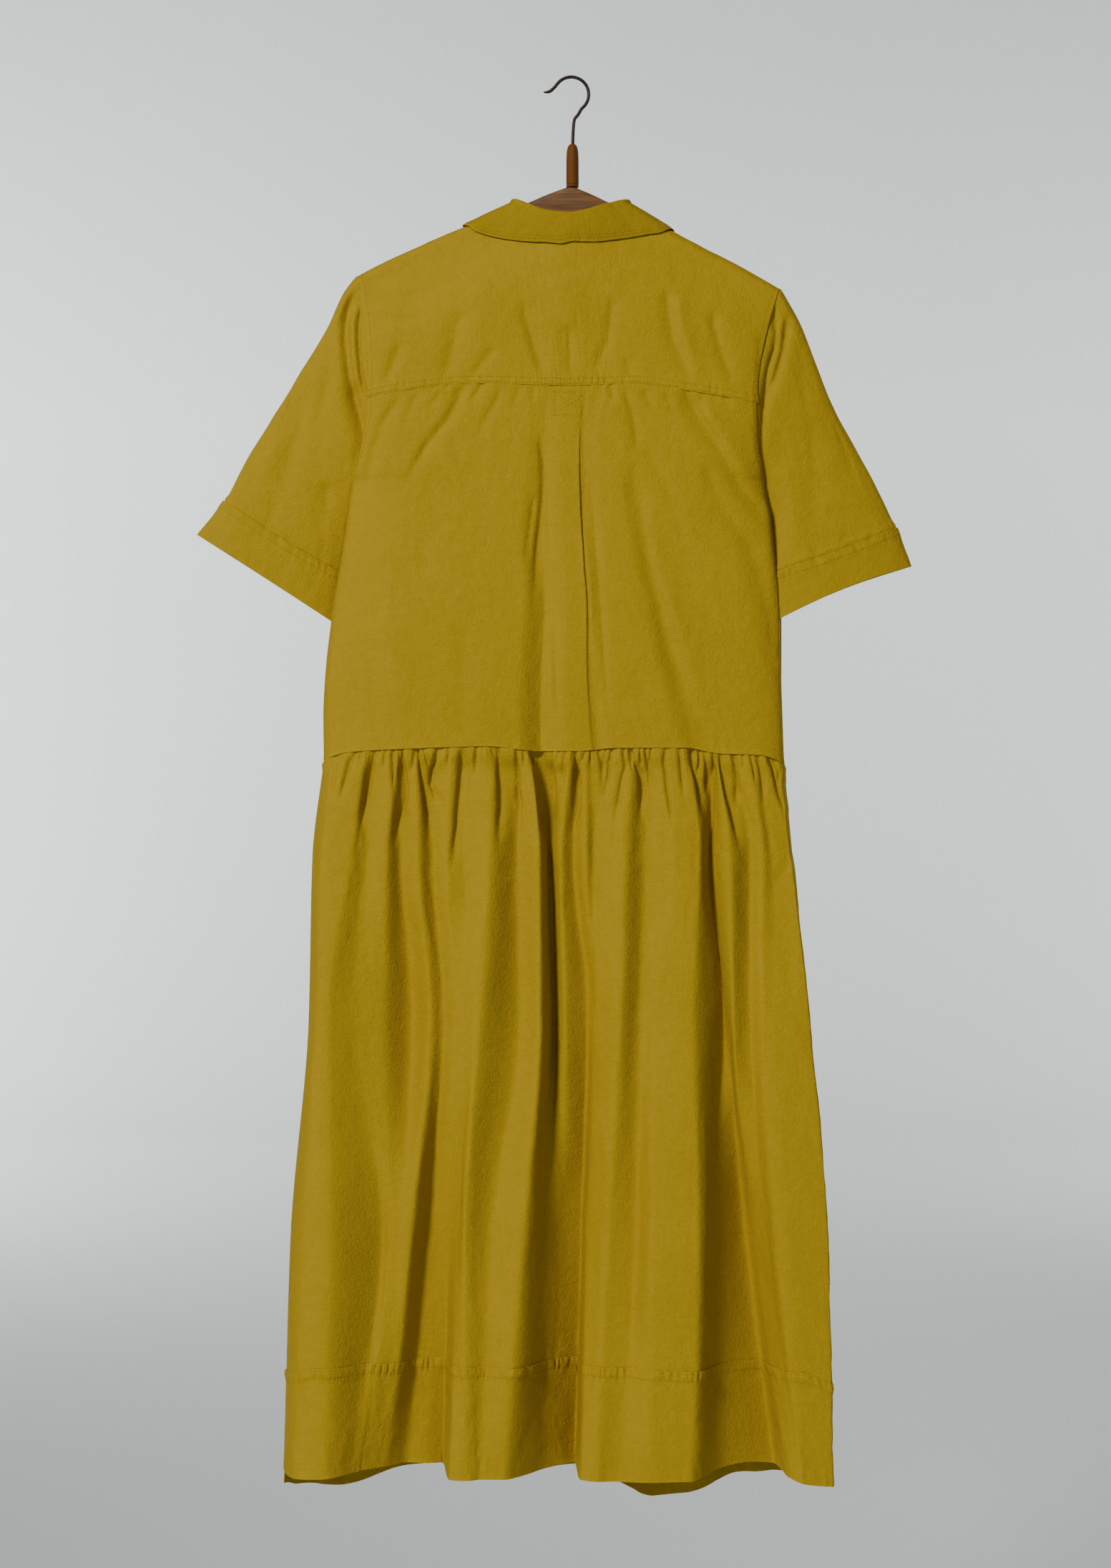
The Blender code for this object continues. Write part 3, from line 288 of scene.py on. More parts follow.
# The collar, from its left front end round the back to its right front end: the fold along its top,
# the neckline under it, and the leaf's edge, told by its run over the shoulder, behind (-) or before (+).
Collar = namedtuple("Collar", "turn roll_x roll_y roll_z neck_x edge_x edge_run")
COLLAR = table(
    Collar,
    (0, -9, 24, -173, -1, -52, 114),
    (1, -34, 20.5, -154, -34, -80, 79),
    (2, -50, 14, -131, -53, -99, 33),
    (2.5, -54.5, 10, -120, -56, -102, 14),
    (3, -56, 0, -115.5, -57, -103, 0),
    (3.5, -53, -9.5, -116.5, -55.5, -96, -10),
    (4, -43, -14.5, -121, -48, -82, -22),
    (5, -26, -18.5, -128, -27, -48, -43),
    (5.5, -14.4, -19.5, -130, -14.7, -26.7, -53.7),
    (6, -2, -20, -131, -2, -4, -62.8),
    (6.5, 10, -19.5, -129.2, 10.1, 18.9, -55.4),
    (7, 21, -18.5, -126, 22, 40, -42.8),
    (8, 38, -14.5, -120.3, 45, 72, -21.4),
    (8.5, 51, -9.5, -117, 55, 89, -10),
    (9, 55, 0, -116, 57, 97, 0),
    (9.5, 54, 10, -121, 56, 99, 14),
    (10, 50, 14, -133, 53, 98, 31),
    (11, 36, 20.5, -155, 36, 80, 76),
    (12, 10, 24, -173, 1, 53, 110),
)
SHOULDER_TURNS = (3, 9)  # where the collar crosses the shoulder ridge
COLLAR_LIFT = 2.4       # the leaf's edge over the cloth that it lies on
ROLL_HALF = 1.8         # half the width of the fold along the collar's top
ROLL_DROP = 3.0         # height of that fold
STAND_INSET = 1.8       # how far the stand's foot lies inside the neckline
COLLAR_FOLD_ROW = 0.2   # share of the collar's rows that the fold takes
NECK_COLUMN = 6 / 22    # share of the yoke's columns on each side of the neck
NECK_ROW = 6 / 12       # share of its rows below the neckline

# The hook's wire: its tip, and the run from the bow down into the stem.
HOOK_TIP = table(Point, (-26.5, -13.2), (-21.5, -12.6), (-16.8, -9.2))
HOOK_SHANK = table(Point, (6.3, -34.6), (3.2, -38.6), (2.2, -45), (1.4, -62), (1.2, -72))
HOOK_TURN = (138, -52)  # degrees, where the bow starts and ends

# The turned stem's outline, as radius and height: first against its top, and then against its foot.
STEM_HEAD = [(0.01, -0.6), (1.6, -0.5), (2.1, 0), (3.2, -0.6), (4.4, -2.4), (5.2, -5), (5.7, -9), (6, -20)]
STEM_BASE = [(6, 2.6), (5.6, 2.2), (5.6, 1.7), (6, 1.3), (6, 0), (0.01, 0)]

# ---------------------------------------------------------------- what only the cloth needs, in millimetres

TUCK = 4.0              # how far an edge runs on under the piece sewn over it
SIDE_LAP = 0.04         # half the gap between the walls of two pieces at a side seam
PLEAT_PRESSED = 0.3     # share of its spread that the pleat keeps where the yoke holds it
PLEAT_SET = 26.0        # distance below the yoke in which it opens
PLEAT_MIDDLE, PLEAT_SPAN = 0.51, 0.12  # where the pleat lies across the back's cloth
COLLAR_BELLY = 1.2      # how far the collar's leaf rounds out between its fold and its edge
STITCH_LIFT = 0.1       # middle of a stitch above the face of its cloth
STITCH_SLANT = 0.07     # radians by which a stitch may lie off its row
CUFF_PROUD = 1.3        # how far a cuff stands off the sleeve
SEAM_STEP = 0.75        # how far the skirt's top lies inside the bodice's foot
SEAM_RUN = 26.0         # distance below the waist seam in which the skirt leaves the bodice's form
SEAM_PUFF = 1.8         # how far the gathered cloth swells out just below that seam
JOIN = 0.85             # where a tube's creases start to run into those at its other edge
LINE_ROUND = 1.6        # how a drawn crease falls off at its sides: more is steeper
LINE_FADES = (0.15, 0.4)  # shares of its length in which it comes in and dies out
FAR_SIDE = 0.4          # strength on a sleeve's front of the creases drawn for its back
CUFF_PUFF = 1.1         # how far a sleeve swells just above its cuff
YOKE_LIFT = (0.25, 0.5)  # how far the yoke's edge stands out at the back, and how much more over the pleat
FOOT_LIFT, FOOT_REACH = 0.35, 3.0  # how far the bodice's foot stands out, and in which height
WEAR_REACH = 1.6        # width of the pale rub along a doubled edge
CROSSED_BOX = ((0.468, 0.552), (0.03, 0.092))  # where the box stitched on the pleat lies, across and down
# Distances of the rows of stitches from the edge that they follow: two rows, or one on the buttoned strip and
# along the armholes.
SEAM_ROWS = {"yoke": (1.6, 6.5), "cuff": (1.6, 7), "hem": (1.6, 8.5), "collar": (3.5, 7)}
STRIP_ROW, SIDE_ROW = 3.5, 5.0

# The surface of washed cotton: each pattern's size across and down the cloth, and its share of the height.
Pattern = namedtuple("Pattern", "across down share")
SWELL, CREASE, RIPPLE = Pattern(44, 60, 0.55), Pattern(17, 26, 0.5), Pattern(8, 11, 0.16)

# The puckers across each seam: the distance between two ridges, how far they reach from the seam, and their
# share of the setting.
Pucker = namedtuple("Pucker", "spacing reach share", defaults=(1,))
PUCKERS = {
    "back top": Pucker(4.6, 11, 1.2), "yoke": Pucker(4.6, 6, 2), "front top": Pucker(6, 9),
    "bodice foot": Pucker(8, 13), "strip": Pucker(7, 5, 0.6), "collar": Pucker(7, 5, 0.8),
    "sleeve head": Pucker(7, 26, 1.2), "sleeve foot": Pucker(6, 9), "cuff": Pucker(6, 7, 2.6),
    "waist": Pucker(3.4, 7, 3.2), "hem band": Pucker(6, 6, 4.5), "hem": Pucker(9, 8, 0.7),
}
PUCKER_LONG = 40.0      # distance away from the seam over which a ridge changes its place

HANG_SHARE = 0.6        # how far the skirt's columns follow its width as it hangs, and not the cloth's length

# The grid of each piece: stretches across and down it, each told as its end and how many lines it takes.
Grid = namedtuple("Grid", "across down")
GRIDS = {
    "back": Grid(((0.1, 18), (0.38, 58), (0.64, 98), (1, 72)), ((0.08, 22), (0.9, 100), (1, 20))),
    "yoke": Grid(((NECK_COLUMN, 80), (1 - NECK_COLUMN, 104), (1, 80)),
                 ((0.06, 20), (0.14, 12), (NECK_ROW, 34), (1, 40))),
    "front": Grid(((1, 92),), ((0.08, 14), (0.92, 86), (1, 14))),
    "strip": Grid(((1, 18),), ((1, 180),)),
    "collar": Grid(((1, 240),), ((COLLAR_FOLD_ROW, 12), (0.8, 16), (1, 12))),
    "stand": Grid(((1, 150),), ((1, 8),)),
    "sleeve": Grid(((1, 144),), ((0.1, 12), (0.9, 64), (1, 10))),
    "cuff": Grid(((1, 170),), ((1, 24),)),
}
SKIRT_ROWS = ((0.02, 8), (0.1, 22), (0.25, 20), (0.97, 43), (1, 4))
HEM_ROWS = ((0.16, 10), (1, 20))

# The cut of each piece: its width and length, the share of that rectangle that is cloth, how many layers
# of the cotton it has, how it is held, and what it rests on.
Cut = namedtuple("Cut", "width length share layers held rests_on", defaults=([],))
CUTS = {
    "yoke": Cut(400, 250, 0.7, 2, "draped", ["hanger_board"]),
    "back_panel": Cut(420, 345, 1, 1, "gathered"),
    "front_left": Cut(215, 430, 0.95, 1, "hung"),
    "front_right": Cut(205, 430, 0.95, 1, "hung"),
    "button_placket": Cut(30, 445, 1, 2, "hung"),
    "collar": Cut(380, 62, 0.9, 2, "folded"),
    "collar_stand": Cut(300, 18, 0.9, 2, "folded"),
    "sleeve_left": Cut(330, 130, 0.95, 1, "hung"),
    "sleeve_right": Cut(330, 130, 0.95, 1, "hung"),
    "cuff_left": Cut(320, 40, 1, 2, "hung"),
    "cuff_right": Cut(320, 40, 1, 2, "hung"),
    "skirt_back": Cut(732, 577, 1, 1, "gathered"),
    "skirt_front": Cut(572, 590, 1, 1, "gathered"),
    "hem_band_back": Cut(732, 100, 1, 2, "hung"),
    "hem_band_front": Cut(572, 100, 1, 2, "hung"),
}

# Soft troughs (-) and ridges (+) in the cloth: height, half width, how far the slope leans to the left
# of the line, and the line's points.
Line = namedtuple("Line", "height width lean path")


def lines(*rows):
    return [Line(*row[:3], row[3:]) for row in rows]


YOKE_LINES = lines(
    (-3.4, 6, 0.2, (89, -201), (92, -221), (96, -249), (107, -272), (115, -299)),
    (2.6, 8, 0, (98, -208), (104, -241), (113, -268), (121, -292)),
    (-2.6, 5, 0.2, (133, -221), (135, -238), (141, -260), (149, -280), (156, -303)),
    (-2.3, 6, 0, (40, -208), (34, -253), (24, -277), (26, -295)),
    (-1.8, 5, 0, (-2, -235), (-2, -262), (0, -292)),
    (-2.6, 6, -0.2, (-45, -214), (-43, -231), (-36, -255), (-23, -292)),
    (-2.6, 8, 0, (-103, -221), (-114, -268), (-117, -280), (-130, -299)),
    (-2.1, 5, 0, (-159, -251), (-179, -299)),
    (-1.8, 5, 0, (-71, -258), (-98, -292)),
    (-1.3, 4, 0, (52, -268), (55, -290)),
    (1.8, 22, 0, (-91, -187), (-84, -268)),
    (2.1, 24, 0, (-11, -187), (-1, -255)),
    (-2.1, 18, 0, (-152, -201), (-142, -248)),
    (-1, 4, 0, (180, -238), (178, -255), (177, -309)))
BACK_LINES = lines(
    (-2.3, 4.5, -0.2, (-160, -302), (-178, -329), (-187, -353), (-191, -370), (-198, -404)),
    (-1.1, 3, 0, (-143, -300), (-154, -322), (-159, -337)),
    (-3.2, 4.5, -0.2, (-98, -289), (-116, -326), (-135, -349), (-162, -396)),
    (-1.1, 3, 0, (-106, -296), (-114, -311)),
    (-1.7, 3, 0, (-82, -291), (-98, -315)),
    (-1.7, 3.5, 0, (-64, -296), (-81, -329), (-91, -350)),
    (-0.9, 3, 0, (-122, -300), (-136, -318)),
    (-1.1, 3, 0, (-49, -295), (-56, -320)),
    (-1.1, 3, 0, (-35, -295), (-37, -314)),
    (-1.5, 3, 0, (37, -293), (40, -311)),
    (-2.1, 4, 0, (49, -295), (58, -322), (64, -364)),
    (-1.3, 3, 0, (68, -298), (79, -323)),
    (-1.1, 3, 0, (88, -300), (98, -328)),
    (-5.5, 7, 0.35, (102, -293), (119, -320), (134, -342), (146, -362), (160, -389), (175, -408),
     (183, -436)),
    (2.5, 9, 0, (122, -310), (138, -340), (150, -364), (164, -392), (180, -424)),
    (-0.9, 3, 0, (122, -300), (126, -314)),
    (-0.9, 3, 0, (133, -302), (136, -315)),
    (-0.9, 3, 0, (144, -303), (148, -318)),
    (-1.3, 8, 0, (69, -353), (93, -397), (99, -424)),
    (-1.9, 8, 0.2, (126, -364), (142, -409), (163, -437), (173, -464)),
    (-2.8, 11, 0, (162, -427), (175, -464), (185, -492), (189, -524), (193, -592)),
    (1.9, 8, 0, (182, -397), (188, -458), (192, -512)),
    (-3.2, 9, 0.25, (51, -364), (65, -409), (73, -460), (80, -492), (90, -532), (99, -559), (109, -584),
     (123, -624), (130, -644)),
    (2.3, 12, 0, (59, -397), (79, -460), (95, -505), (113, -559), (130, -626)),
    (-1.9, 4, 0, (18, -377), (24, -460), (30, -540), (33, -587), (39, -633)),
    (1.9, 5, 0, (11, -417), (17, -471), (21, -539), (25, -606)),
    (-3.8, 5, -0.3, (-31, -337), (-26, -370), (-27, -404), (-32, -451), (-36, -512)),
    (-1.9, 3, 0, (-35, -397), (-39, -431), (-44, -471)),
    (-1.5, 14, 0, (-191, -525), (-186, -579), (-180, -646)),
    (-1.3, 10, 0, (-211, -518), (-209, -572), (-207, -646)),
    (1.7, 22, 0, (-182, -464), (-173, -539), (-161, -633)),
    (-1.3, 10, 0, (-98, -518), (-102, -572), (-103, -644)),
    (-1.1, 16, 0, (-126, -370), (-136, -444), (-146, -512)),
    (-1.9, 3.5, 0, (-19, -471), (-17, -524), (-14, -587), (-10, -633)))
FRONT_LINES = lines(
    (-1.2, 7, 0.2, (-150, -200), (-158, -290), (-176, -400)),
    (-1.0, 9, 0, (-98, -230), (-112, -330), (-138, -450), (-160, -560)),
    (1.0, 14, 0, (-70, -300), (-84, -420), (-96, -560)),
    (-0.8, 10, 0, (-60, -420), (-66, -520), (-70, -630)),
    (-0.8, 12, 0, (-196, -440), (-200, -540), (-198, -640)),
    (-1.3, 7, -0.2, (148, -205), (152, -300), (168, -395)),
    (-1.1, 9, 0, (88, -240), (104, -340), (128, -450), (150, -560)),
    (1.0, 14, 0, (58, -320), (66, -430), (80, -570)),
    (-0.8, 10, 0, (38, -430), (42, -530), (48, -635)),
    (-0.8, 12, 0, (168, -450), (172, -540), (170, -640)))
COLLAR_LINES = lines(
    (-0.8, 4, 0, (34, -118), (46, -132), (60, -146), (72, -152)),
    (0.7, 10, 0, (-60, -128), (-40, -142), (-20, -152)),
    (-0.5, 5, 0, (-74, -136), (-58, -146)))
SLEEVE_LINES = {
    "left": lines(
        (-4.8, 10, -0.3, (-212, -287), (-208, -308), (-204, -328), (-200, -348), (-199, -372),
         (-201, -396)),
        (-7, 6, -0.4, (-200, -194), (-207, -206), (-213, -220), (-216, -234), (-216, -249), (-214, -266),
         (-211, -287), (-207, -307), (-202, -326), (-199, -343), (-198, -389)),
        (-5.1, 2.8, 0, (-197, -203), (-199, -212), (-200, -223), (-202, -237), (-202, -254), (-201, -270),
         (-199, -287), (-195, -307), (-195, -335)),
        (2.3, 3, 0, (-203, -213), (-207, -233), (-207, -260), (-203, -287), (-199, -311)),
        (-1.7, 8, 0, (-220, -220), (-223, -237), (-228, -264), (-233, -292), (-238, -326), (-241, -369)),
        (-3, 13, 0.2, (-249, -287), (-256, -311), (-262, -343), (-273, -375), (-281, -406), (-290, -426),
         (-303, -448), (-312, -467)),
        (-2.5, 8, 0, (-232, -382), (-233, -400), (-237, -417), (-243, -443)),
        (-1.9, 3, 0, (-233, -433), (-237, -448), (-239, -463), (-243, -478), (-250, -486), (-262, -499)),
        (-1.5, 3, 0, (-283, -402), (-289, -421), (-293, -435), (-298, -443)),
        (-1.1, 2.5, 0, (-284, -431), (-288, -446)),
        (-1.1, 2.5, 0, (-280, -433), (-284, -450)),
        (-1.1, 2.5, 0, (-275, -436), (-280, -453)),
        (-0.9, 2.5, 0, (-270, -441), (-275, -457)),
        (-1.3, 3, 0, (-294, -460), (-304, -476)),
        (-1.1, 3, 0, (-273, -470), (-281, -484)),
        (-1.3, 3, 0, (-236, -489), (-243, -511)),
        (-1.1, 3, 0, (-226, -494), (-230, -516)),
        (1.9, 12, 0, (-307, -375), (-287, -362), (-270, -335)),
    ),
    "right": lines(
        (-2.5, 2.8, 0, (191, -216), (195, -233), (195, -250)),
        (-3.7, 2.6, 0, (195, -239), (193, -258), (188, -272), (185, -287), (184, -302), (182, -328),
         (179, -355), (178, -375)),
        (-3.8, 5, 0.3, (207, -220), (205, -237), (202, -256), (198, -272), (193, -287), (188, -298),
         (183, -312), (180, -342)),
        (2.2, 3, 0, (200, -226), (197, -257), (192, -277), (187, -298)),
        (-2.2, 3, 0, (192, -216), (191, -232), (195, -243)),
        (-1.6, 10, 0, (216, -226), (218, -249), (218, -271), (222, -298), (229, -331), (231, -369),
         (232, -417), (229, -463)),
        (-0.9, 5, 0, (238, -411), (265, -413), (295, -417)),
        (-1.1, 4, 0, (255, -435), (268, -440), (282, -438)),
        (-1.3, 3, 0, (232, -446), (230, -457), (230, -467)),
        (-1.3, 3, 0, (287, -430), (284, -438), (280, -446)),
        (1.4, 14, 0, (204, -362), (211, -416), (212, -470)),
        (-1.1, 12, 0, (251, -308), (268, -362), (282, -402)),
    ),
}
SKIRT_LINES = lines(
    (-1.3, 4, 0, (159, -672), (163, -691), (168, -707), (173, -727)),
    (-1.2, 5, 0, (178, -680), (183, -711), (188, -728), (191, -747)),
    (-1, 4, 0, (-127, -677), (-123, -688), (-118, -701), (-115, -717)),
    (-2, 4, 0.2, (25, -680), (21, -727), (20, -774), (19, -828), (15, -895)),
    (-1.3, 4, 0, (43, -677), (39, -747)),
    (-1.2, 4, 0, (76, -663), (78, -710)),
    (-2, 5, 0, (87, -693), (89, -774), (89, -838)),
    (-1.2, 4, 0, (131, -650), (137, -737)),
    (-1.6, 6, 0, (207, -693), (209, -727), (201, -750), (191, -781)),
    (-1.4, 4, 0, (-51, -670), (-51, -727), (-49, -760)),
    (-0.8, 4, 0, (-249, -925), (-219, -920), (-185, -918)))
# The gathers that start at the waist seam and run down into the folds.
GATHERS = lines(
    (-3, 2.5, 0, (-221, -637), (-222, -648), (-226, -677), (-228, -690)),
    (-4.9, 2.3, -0.2, (-202, -631), (-204, -642), (-210, -652), (-213, -665), (-216, -677), (-218, -690)),
    (-2.7, 1.8, 0, (-198, -631), (-198, -642), (-200, -654)),
    (-5.7, 2.8, 0.3, (-184, -629), (-185, -640), (-187, -653), (-189, -662), (-191, -677), (-194, -698),
     (-199, -724)),
    (-3.4, 1.8, 0, (-179, -631), (-181, -642), (-183, -652)),
    (-3, 1.8, 0, (-173, -631), (-175, -642), (-176, -658)),
    (-4.6, 2.1, 0, (-168, -631), (-168, -642), (-167, -681)),
    (-5.7, 2.8, 0.4, (-160, -629), (-159, -643), (-158, -656), (-157, -666), (-156, -681), (-161, -703),
     (-167, -734)),
    (-3.4, 1.8, 0, (-147, -631), (-148, -642), (-149, -652), (-152, -664)),
    (-6.5, 2.8, 0.2, (-146, -626), (-144, -640), (-142, -650), (-139, -662), (-136, -680), (-134, -700),
     (-133, -727)),
    (-2.7, 1.8, 0, (-140, -631), (-138, -642), (-133, -657)),
    (-4.9, 2.1, 0, (-125, -627), (-126, -638), (-128, -648), (-131, -658), (-132, -671), (-129, -680),
     (-124, -692)),
    (-3, 1.7, 0, (-121, -629), (-122, -639), (-126, -653)),
    (-2.8, 1.7, 0, (-117, -629), (-115, -641), (-116, -648), (-116, -657)),
    (-5.7, 4.6, -0.3, (-103, -626), (-103, -645), (-103, -659), (-104, -673), (-106, -692), (-107, -711),
     (-110, -734), (-115, -762)),
    (-4.2, 2.1, 0, (-89, -626), (-89, -642), (-90, -650), (-91, -666)),
    (-2.5, 1.6, 0, (-76, -627), (-76, -635), (-72, -646)),
    (-5.7, 4.1, 0.3, (-70, -627), (-68, -642), (-66, -654), (-64, -673), (-64, -692), (-66, -714),
     (-68, -740)),
    (-4.9, 2.1, 0, (-53, -626), (-51, -641), (-51, -650), (-51, -678), (-49, -692), (-50, -717)),
    (-2.7, 1.7, 0, (-47, -629), (-45, -645), (-44, -658)),
    (-5.3, 2.3, 0, (-40, -627), (-38, -638), (-36, -645), (-33, -654), (-32, -664), (-30, -678),
     (-28, -693)),
    (-3.8, 1.8, 0, (-34, -630), (-33, -642), (-32, -653)),
    (-7.6, 5.8, 0, (-29, -630), (-29, -645), (-25, -673), (-23, -700), (-22, -734)),
    (-3.8, 1.8, 0, (-19, -633), (-19, -645), (-19, -657), (-18, -673), (-17, -700)),
    (-2.7, 1.6, 0, (-12, -631), (-12, -643), (-13, -653)),
    (-3.8, 2, 0, (-6, -630), (-6, -641), (-7, -650), (-9, -664), (-10, -677)),
    (-5.7, 2.3, 0.3, (3, -629), (4, -643), (5, -652), (6, -664), (6, -677), (5, -697), (0, -724)),
    (-3, 1.7, 0, (14, -631), (13, -641), (9, -652)),
    (-3.4, 1.8, 0, (18, -630), (18, -642), (18, -658)),
    (-3.8, 2, 0, (25, -630), (26, -640), (29, -652), (29, -664), (28, -680)),
    (-3, 1.7, 0, (33, -630), (32, -640), (30, -650), (29, -663)),
    (-4.9, 2.1, 0, (39, -630), (37, -644), (35, -652), (35, -662), (32, -673), (30, -687)),
    (-2.8, 1.6, 0, (43, -630), (42, -640), (39, -649)),
    (-3.8, 2.5, -0.3, (47, -629), (49, -642), (51, -653), (48, -662), (45, -677), (43, -693), (39, -710)),
    (-3, 1.7, 0, (54, -629), (55, -642), (56, -652), (60, -664)),
    (-5.3, 2.5, 0.3, (56, -629), (57, -640), (59, -648), (62, -653), (66, -660), (68, -673), (67, -689),
     (64, -710)),
    (-2.8, 1.7, 0, (64, -630), (65, -648), (66, -658)),
    (-3.4, 1.8, 0, (69, -630), (70, -642), (72, -653), (73, -666), (74, -680)),
    (-3.8, 1.8, 0, (75, -630), (74, -652), (74, -660)),
    (-4.2, 2.3, -0.2, (88, -629), (88, -640), (87, -650), (88, -660), (90, -680), (93, -698), (94, -720)),
    (-3.8, 2.1, 0, (101, -630), (102, -642), (103, -653), (104, -666), (106, -687)),
    (-7.6, 3.4, 0.3, (113, -629), (114, -640), (115, -649), (118, -658), (122, -669), (124, -685),
     (125, -707)),
    (-5.3, 2, 0, (119, -629), (120, -640), (121, -650), (122, -662), (123, -670)),
    (-4.6, 2.1, 0.2, (125, -630), (125, -642), (128, -653), (129, -662), (129, -687)),
    (-3.4, 1.8, 0, (132, -631), (133, -642), (134, -652), (136, -666)),
    (-5.7, 3.4, -0.2, (140, -631), (140, -642), (141, -653), (144, -665), (147, -680), (151, -693),
     (156, -716), (160, -740)),
    (-5.7, 2.2, 0, (151, -633), (152, -644), (154, -650), (155, -662), (156, -677), (157, -697)),
    (-2.8, 1.6, 0, (156, -635), (156, -648), (158, -662)),
    (-3.4, 1.7, 0, (160, -634), (161, -643), (162, -650), (160, -662)),
    (-3.4, 1.8, 0, (167, -635), (169, -645), (171, -654), (173, -662), (173, -675)),
    (-4.6, 2.1, 0, (173, -634), (175, -644), (177, -653), (179, -662), (181, -675), (181, -691)),
    (-6.1, 2.2, 0, (185, -635), (187, -647), (190, -655), (193, -666), (195, -677), (199, -689),
     (202, -703)),
    (-4.2, 2.5, -0.3, (189, -638), (191, -648), (196, -660), (197, -669), (200, -680), (202, -693)))
TURN = -32.0            # the sum of the x of a gather behind and of its fellow before

# The stage, in metres.
FLOOR, STAGE_BACK, STAGE_CURVE, STAGE_REACH, STAGE_TOP = -1.95, 10.5, 3.0, 14.0, 9.0
CAMERA_PLACE, CAMERA_LENS = (-0.015, -2.6, -0.6705), 62.8
SKY_COLOUR = (0.93, 0.97, 1.0, 1)

# The lamps: where each stands and points, its size, and its share of the power that the setting gives.
Lamp = namedtuple("Lamp", "name place target size share colour", defaults=(1, (1, 1, 1)))
LAMPS = [
    Lamp("key", (-3.6, -5.9, 3.1), (0, 0, -0.6), 1.6, 1, (1, 0.985, 0.96)),
    Lamp("fill", (2.6, -3.4, 0.2), (0, 0, -0.7), 2.4),
    Lamp("rear", (2.2, 2.2, 0.8), (0, 0, -0.7), 1.4),
    Lamp("backdrop", (-5.5, 5.5, -0.1), (-1.5, STAGE_BACK, -1.6), 2.5, 1.6),
    Lamp("backdrop", (5.5, 5.5, -0.1), (1.5, STAGE_BACK, -1.6), 2.5, 0.78),
]

# ---------------------------------------------------------------- curves through the tables


def smooth_curve(keys, values, at):
    """Monotone cubic through the values, which may hold a column for each place in at."""
    keys = np.asarray(keys, float)
    at = np.clip(np.asarray(at, float), keys[0], keys[-1])
    values = np.asarray(values, float)
    if values.ndim == 1:
        values = np.repeat(values[:, None], at.size, axis=1)
    rise = np.diff(values, axis=0) / np.diff(keys)[:, None]
    slope = np.zeros_like(values)
    slope[0], slope[-1] = rise[0], rise[-1]
    before, after = rise[:-1], rise[1:]
    same_way = before * after > 0
    total = np.where(same_way, before + after, 1.0)
    slope[1:-1] = np.where(same_way, 2 * before * after / total, 0.0)
    piece = np.clip(np.searchsorted(keys, at, side="right") - 1, 0, len(keys) - 2)
    column = np.arange(at.size)
    width = np.diff(keys)[piece]
    t = (at - keys[piece]) / width
    start, end = values[piece, column], values[piece + 1, column]
    start_slope, end_slope = slope[piece, column] * width, slope[piece + 1, column] * width
    return (start * (2 * t**3 - 3 * t**2 + 1) + start_slope * (t**3 - 2 * t**2 + t)
            + end * (3 * t**2 - 2 * t**3) + end_slope * (t**3 - t**2))


def read(table, key, column, at):
    """One column of a table as a smooth function of its key column."""
    rows = sorted(table, key=lambda row: getattr(row, key))
    return smooth_curve([getattr(row, key) for row in rows], [getattr(row, column) for row in rows], at)


def ease(t):
    """0 to 1 with level ends."""
    t = np.clip(t, 0, 1)
    return t * t * (3 - 2 * t)


def mix(a, b, t):
    return a + (b - a) * t


def noise(across, down, seed):
    """Smooth noise, about -1 to 1, whose bumps are about one unit apart."""
    angles = np.random.default_rng(seed).uniform(0, 2 * pi, (NOISE_GRID, NOISE_GRID))
    column, row = np.floor(across).astype(int), np.floor(down).astype(int)
    x, y = across - column, down - row

    def corner(i, j):
        angle = angles[(column + i) % NOISE_GRID, (row + j) % NOISE_GRID]
        return np.cos(angle) * (x - i) + np.sin(angle) * (y - j)

    top = mix(corner(0, 0), corner(1, 0), ease(x))
    foot = mix(corner(0, 1), corner(1, 1), ease(x))
    return 1.5 * mix(top, foot, ease(y))


# ---------------------------------------------------------------- the bodice's form


def seam_height(table, x):
    return read(table, "x", "z", x)


def shoulder(x):
    """Height of the ridge that the yoke makes over the hanger."""
    return seam_height(SHOULDER, x)


def edge(side, z):
    """x of the armhole or side seam; side is left or right."""
    return read(BODICE, "z", side, z)


def over_ridge(run):
    """Height lost below the ridge after following the cloth for this run."""
    angle = np.minimum(np.abs(run) / RIDGE_ROUND, pi / 2)
    return RIDGE_ROUND * (1 - np.cos(angle)) + np.maximum(np.abs(run) - RIDGE_ROUND * pi / 2, 0)


def run_for(fall):
    """The run that loses this much height, for a fall of more than the ridge's rounding."""
    return fall + RIDGE_ROUND * (pi / 2 - 1)


def depth(x, z, face):
    """Distance of the cloth from the hanger's plane; face is back or front."""
    below = np.maximum(shoulder(x) - z, 0)
    left, right = edge("left", z), edge("right", z)
    across = np.clip(2 * (x - left) / (right - left) - 1, -1, 1)
    crown = (1 - np.abs(across) ** CROWN_POWER) ** CROWN_ROUND
    rim = read(BODICE, "z", "rim", z)
    full = rim + (read(BODICE, "z", face, z) - rim) * crown
    round_off = np.sqrt(1 - (1 - np.minimum(below / RIDGE_ROUND, 1)) ** 2)
    return RIDGE_ROUND * round_off + (full - RIDGE_ROUND) * ease(below / GROWTH)


def centre_front(z):
    """x of the middle of the buttoned strip."""
    return PLACKET_DRIFT * ease((NECK_FRONT - z) / (NECK_FRONT - WAIST))


# ---------------------------------------------------------------- where each panel's points lie
# Each function takes u across and v down, both from 0 to 1, and gives x, y and z in millimetres.
# tuck is how far an edge runs on under the piece that is sewn over it.


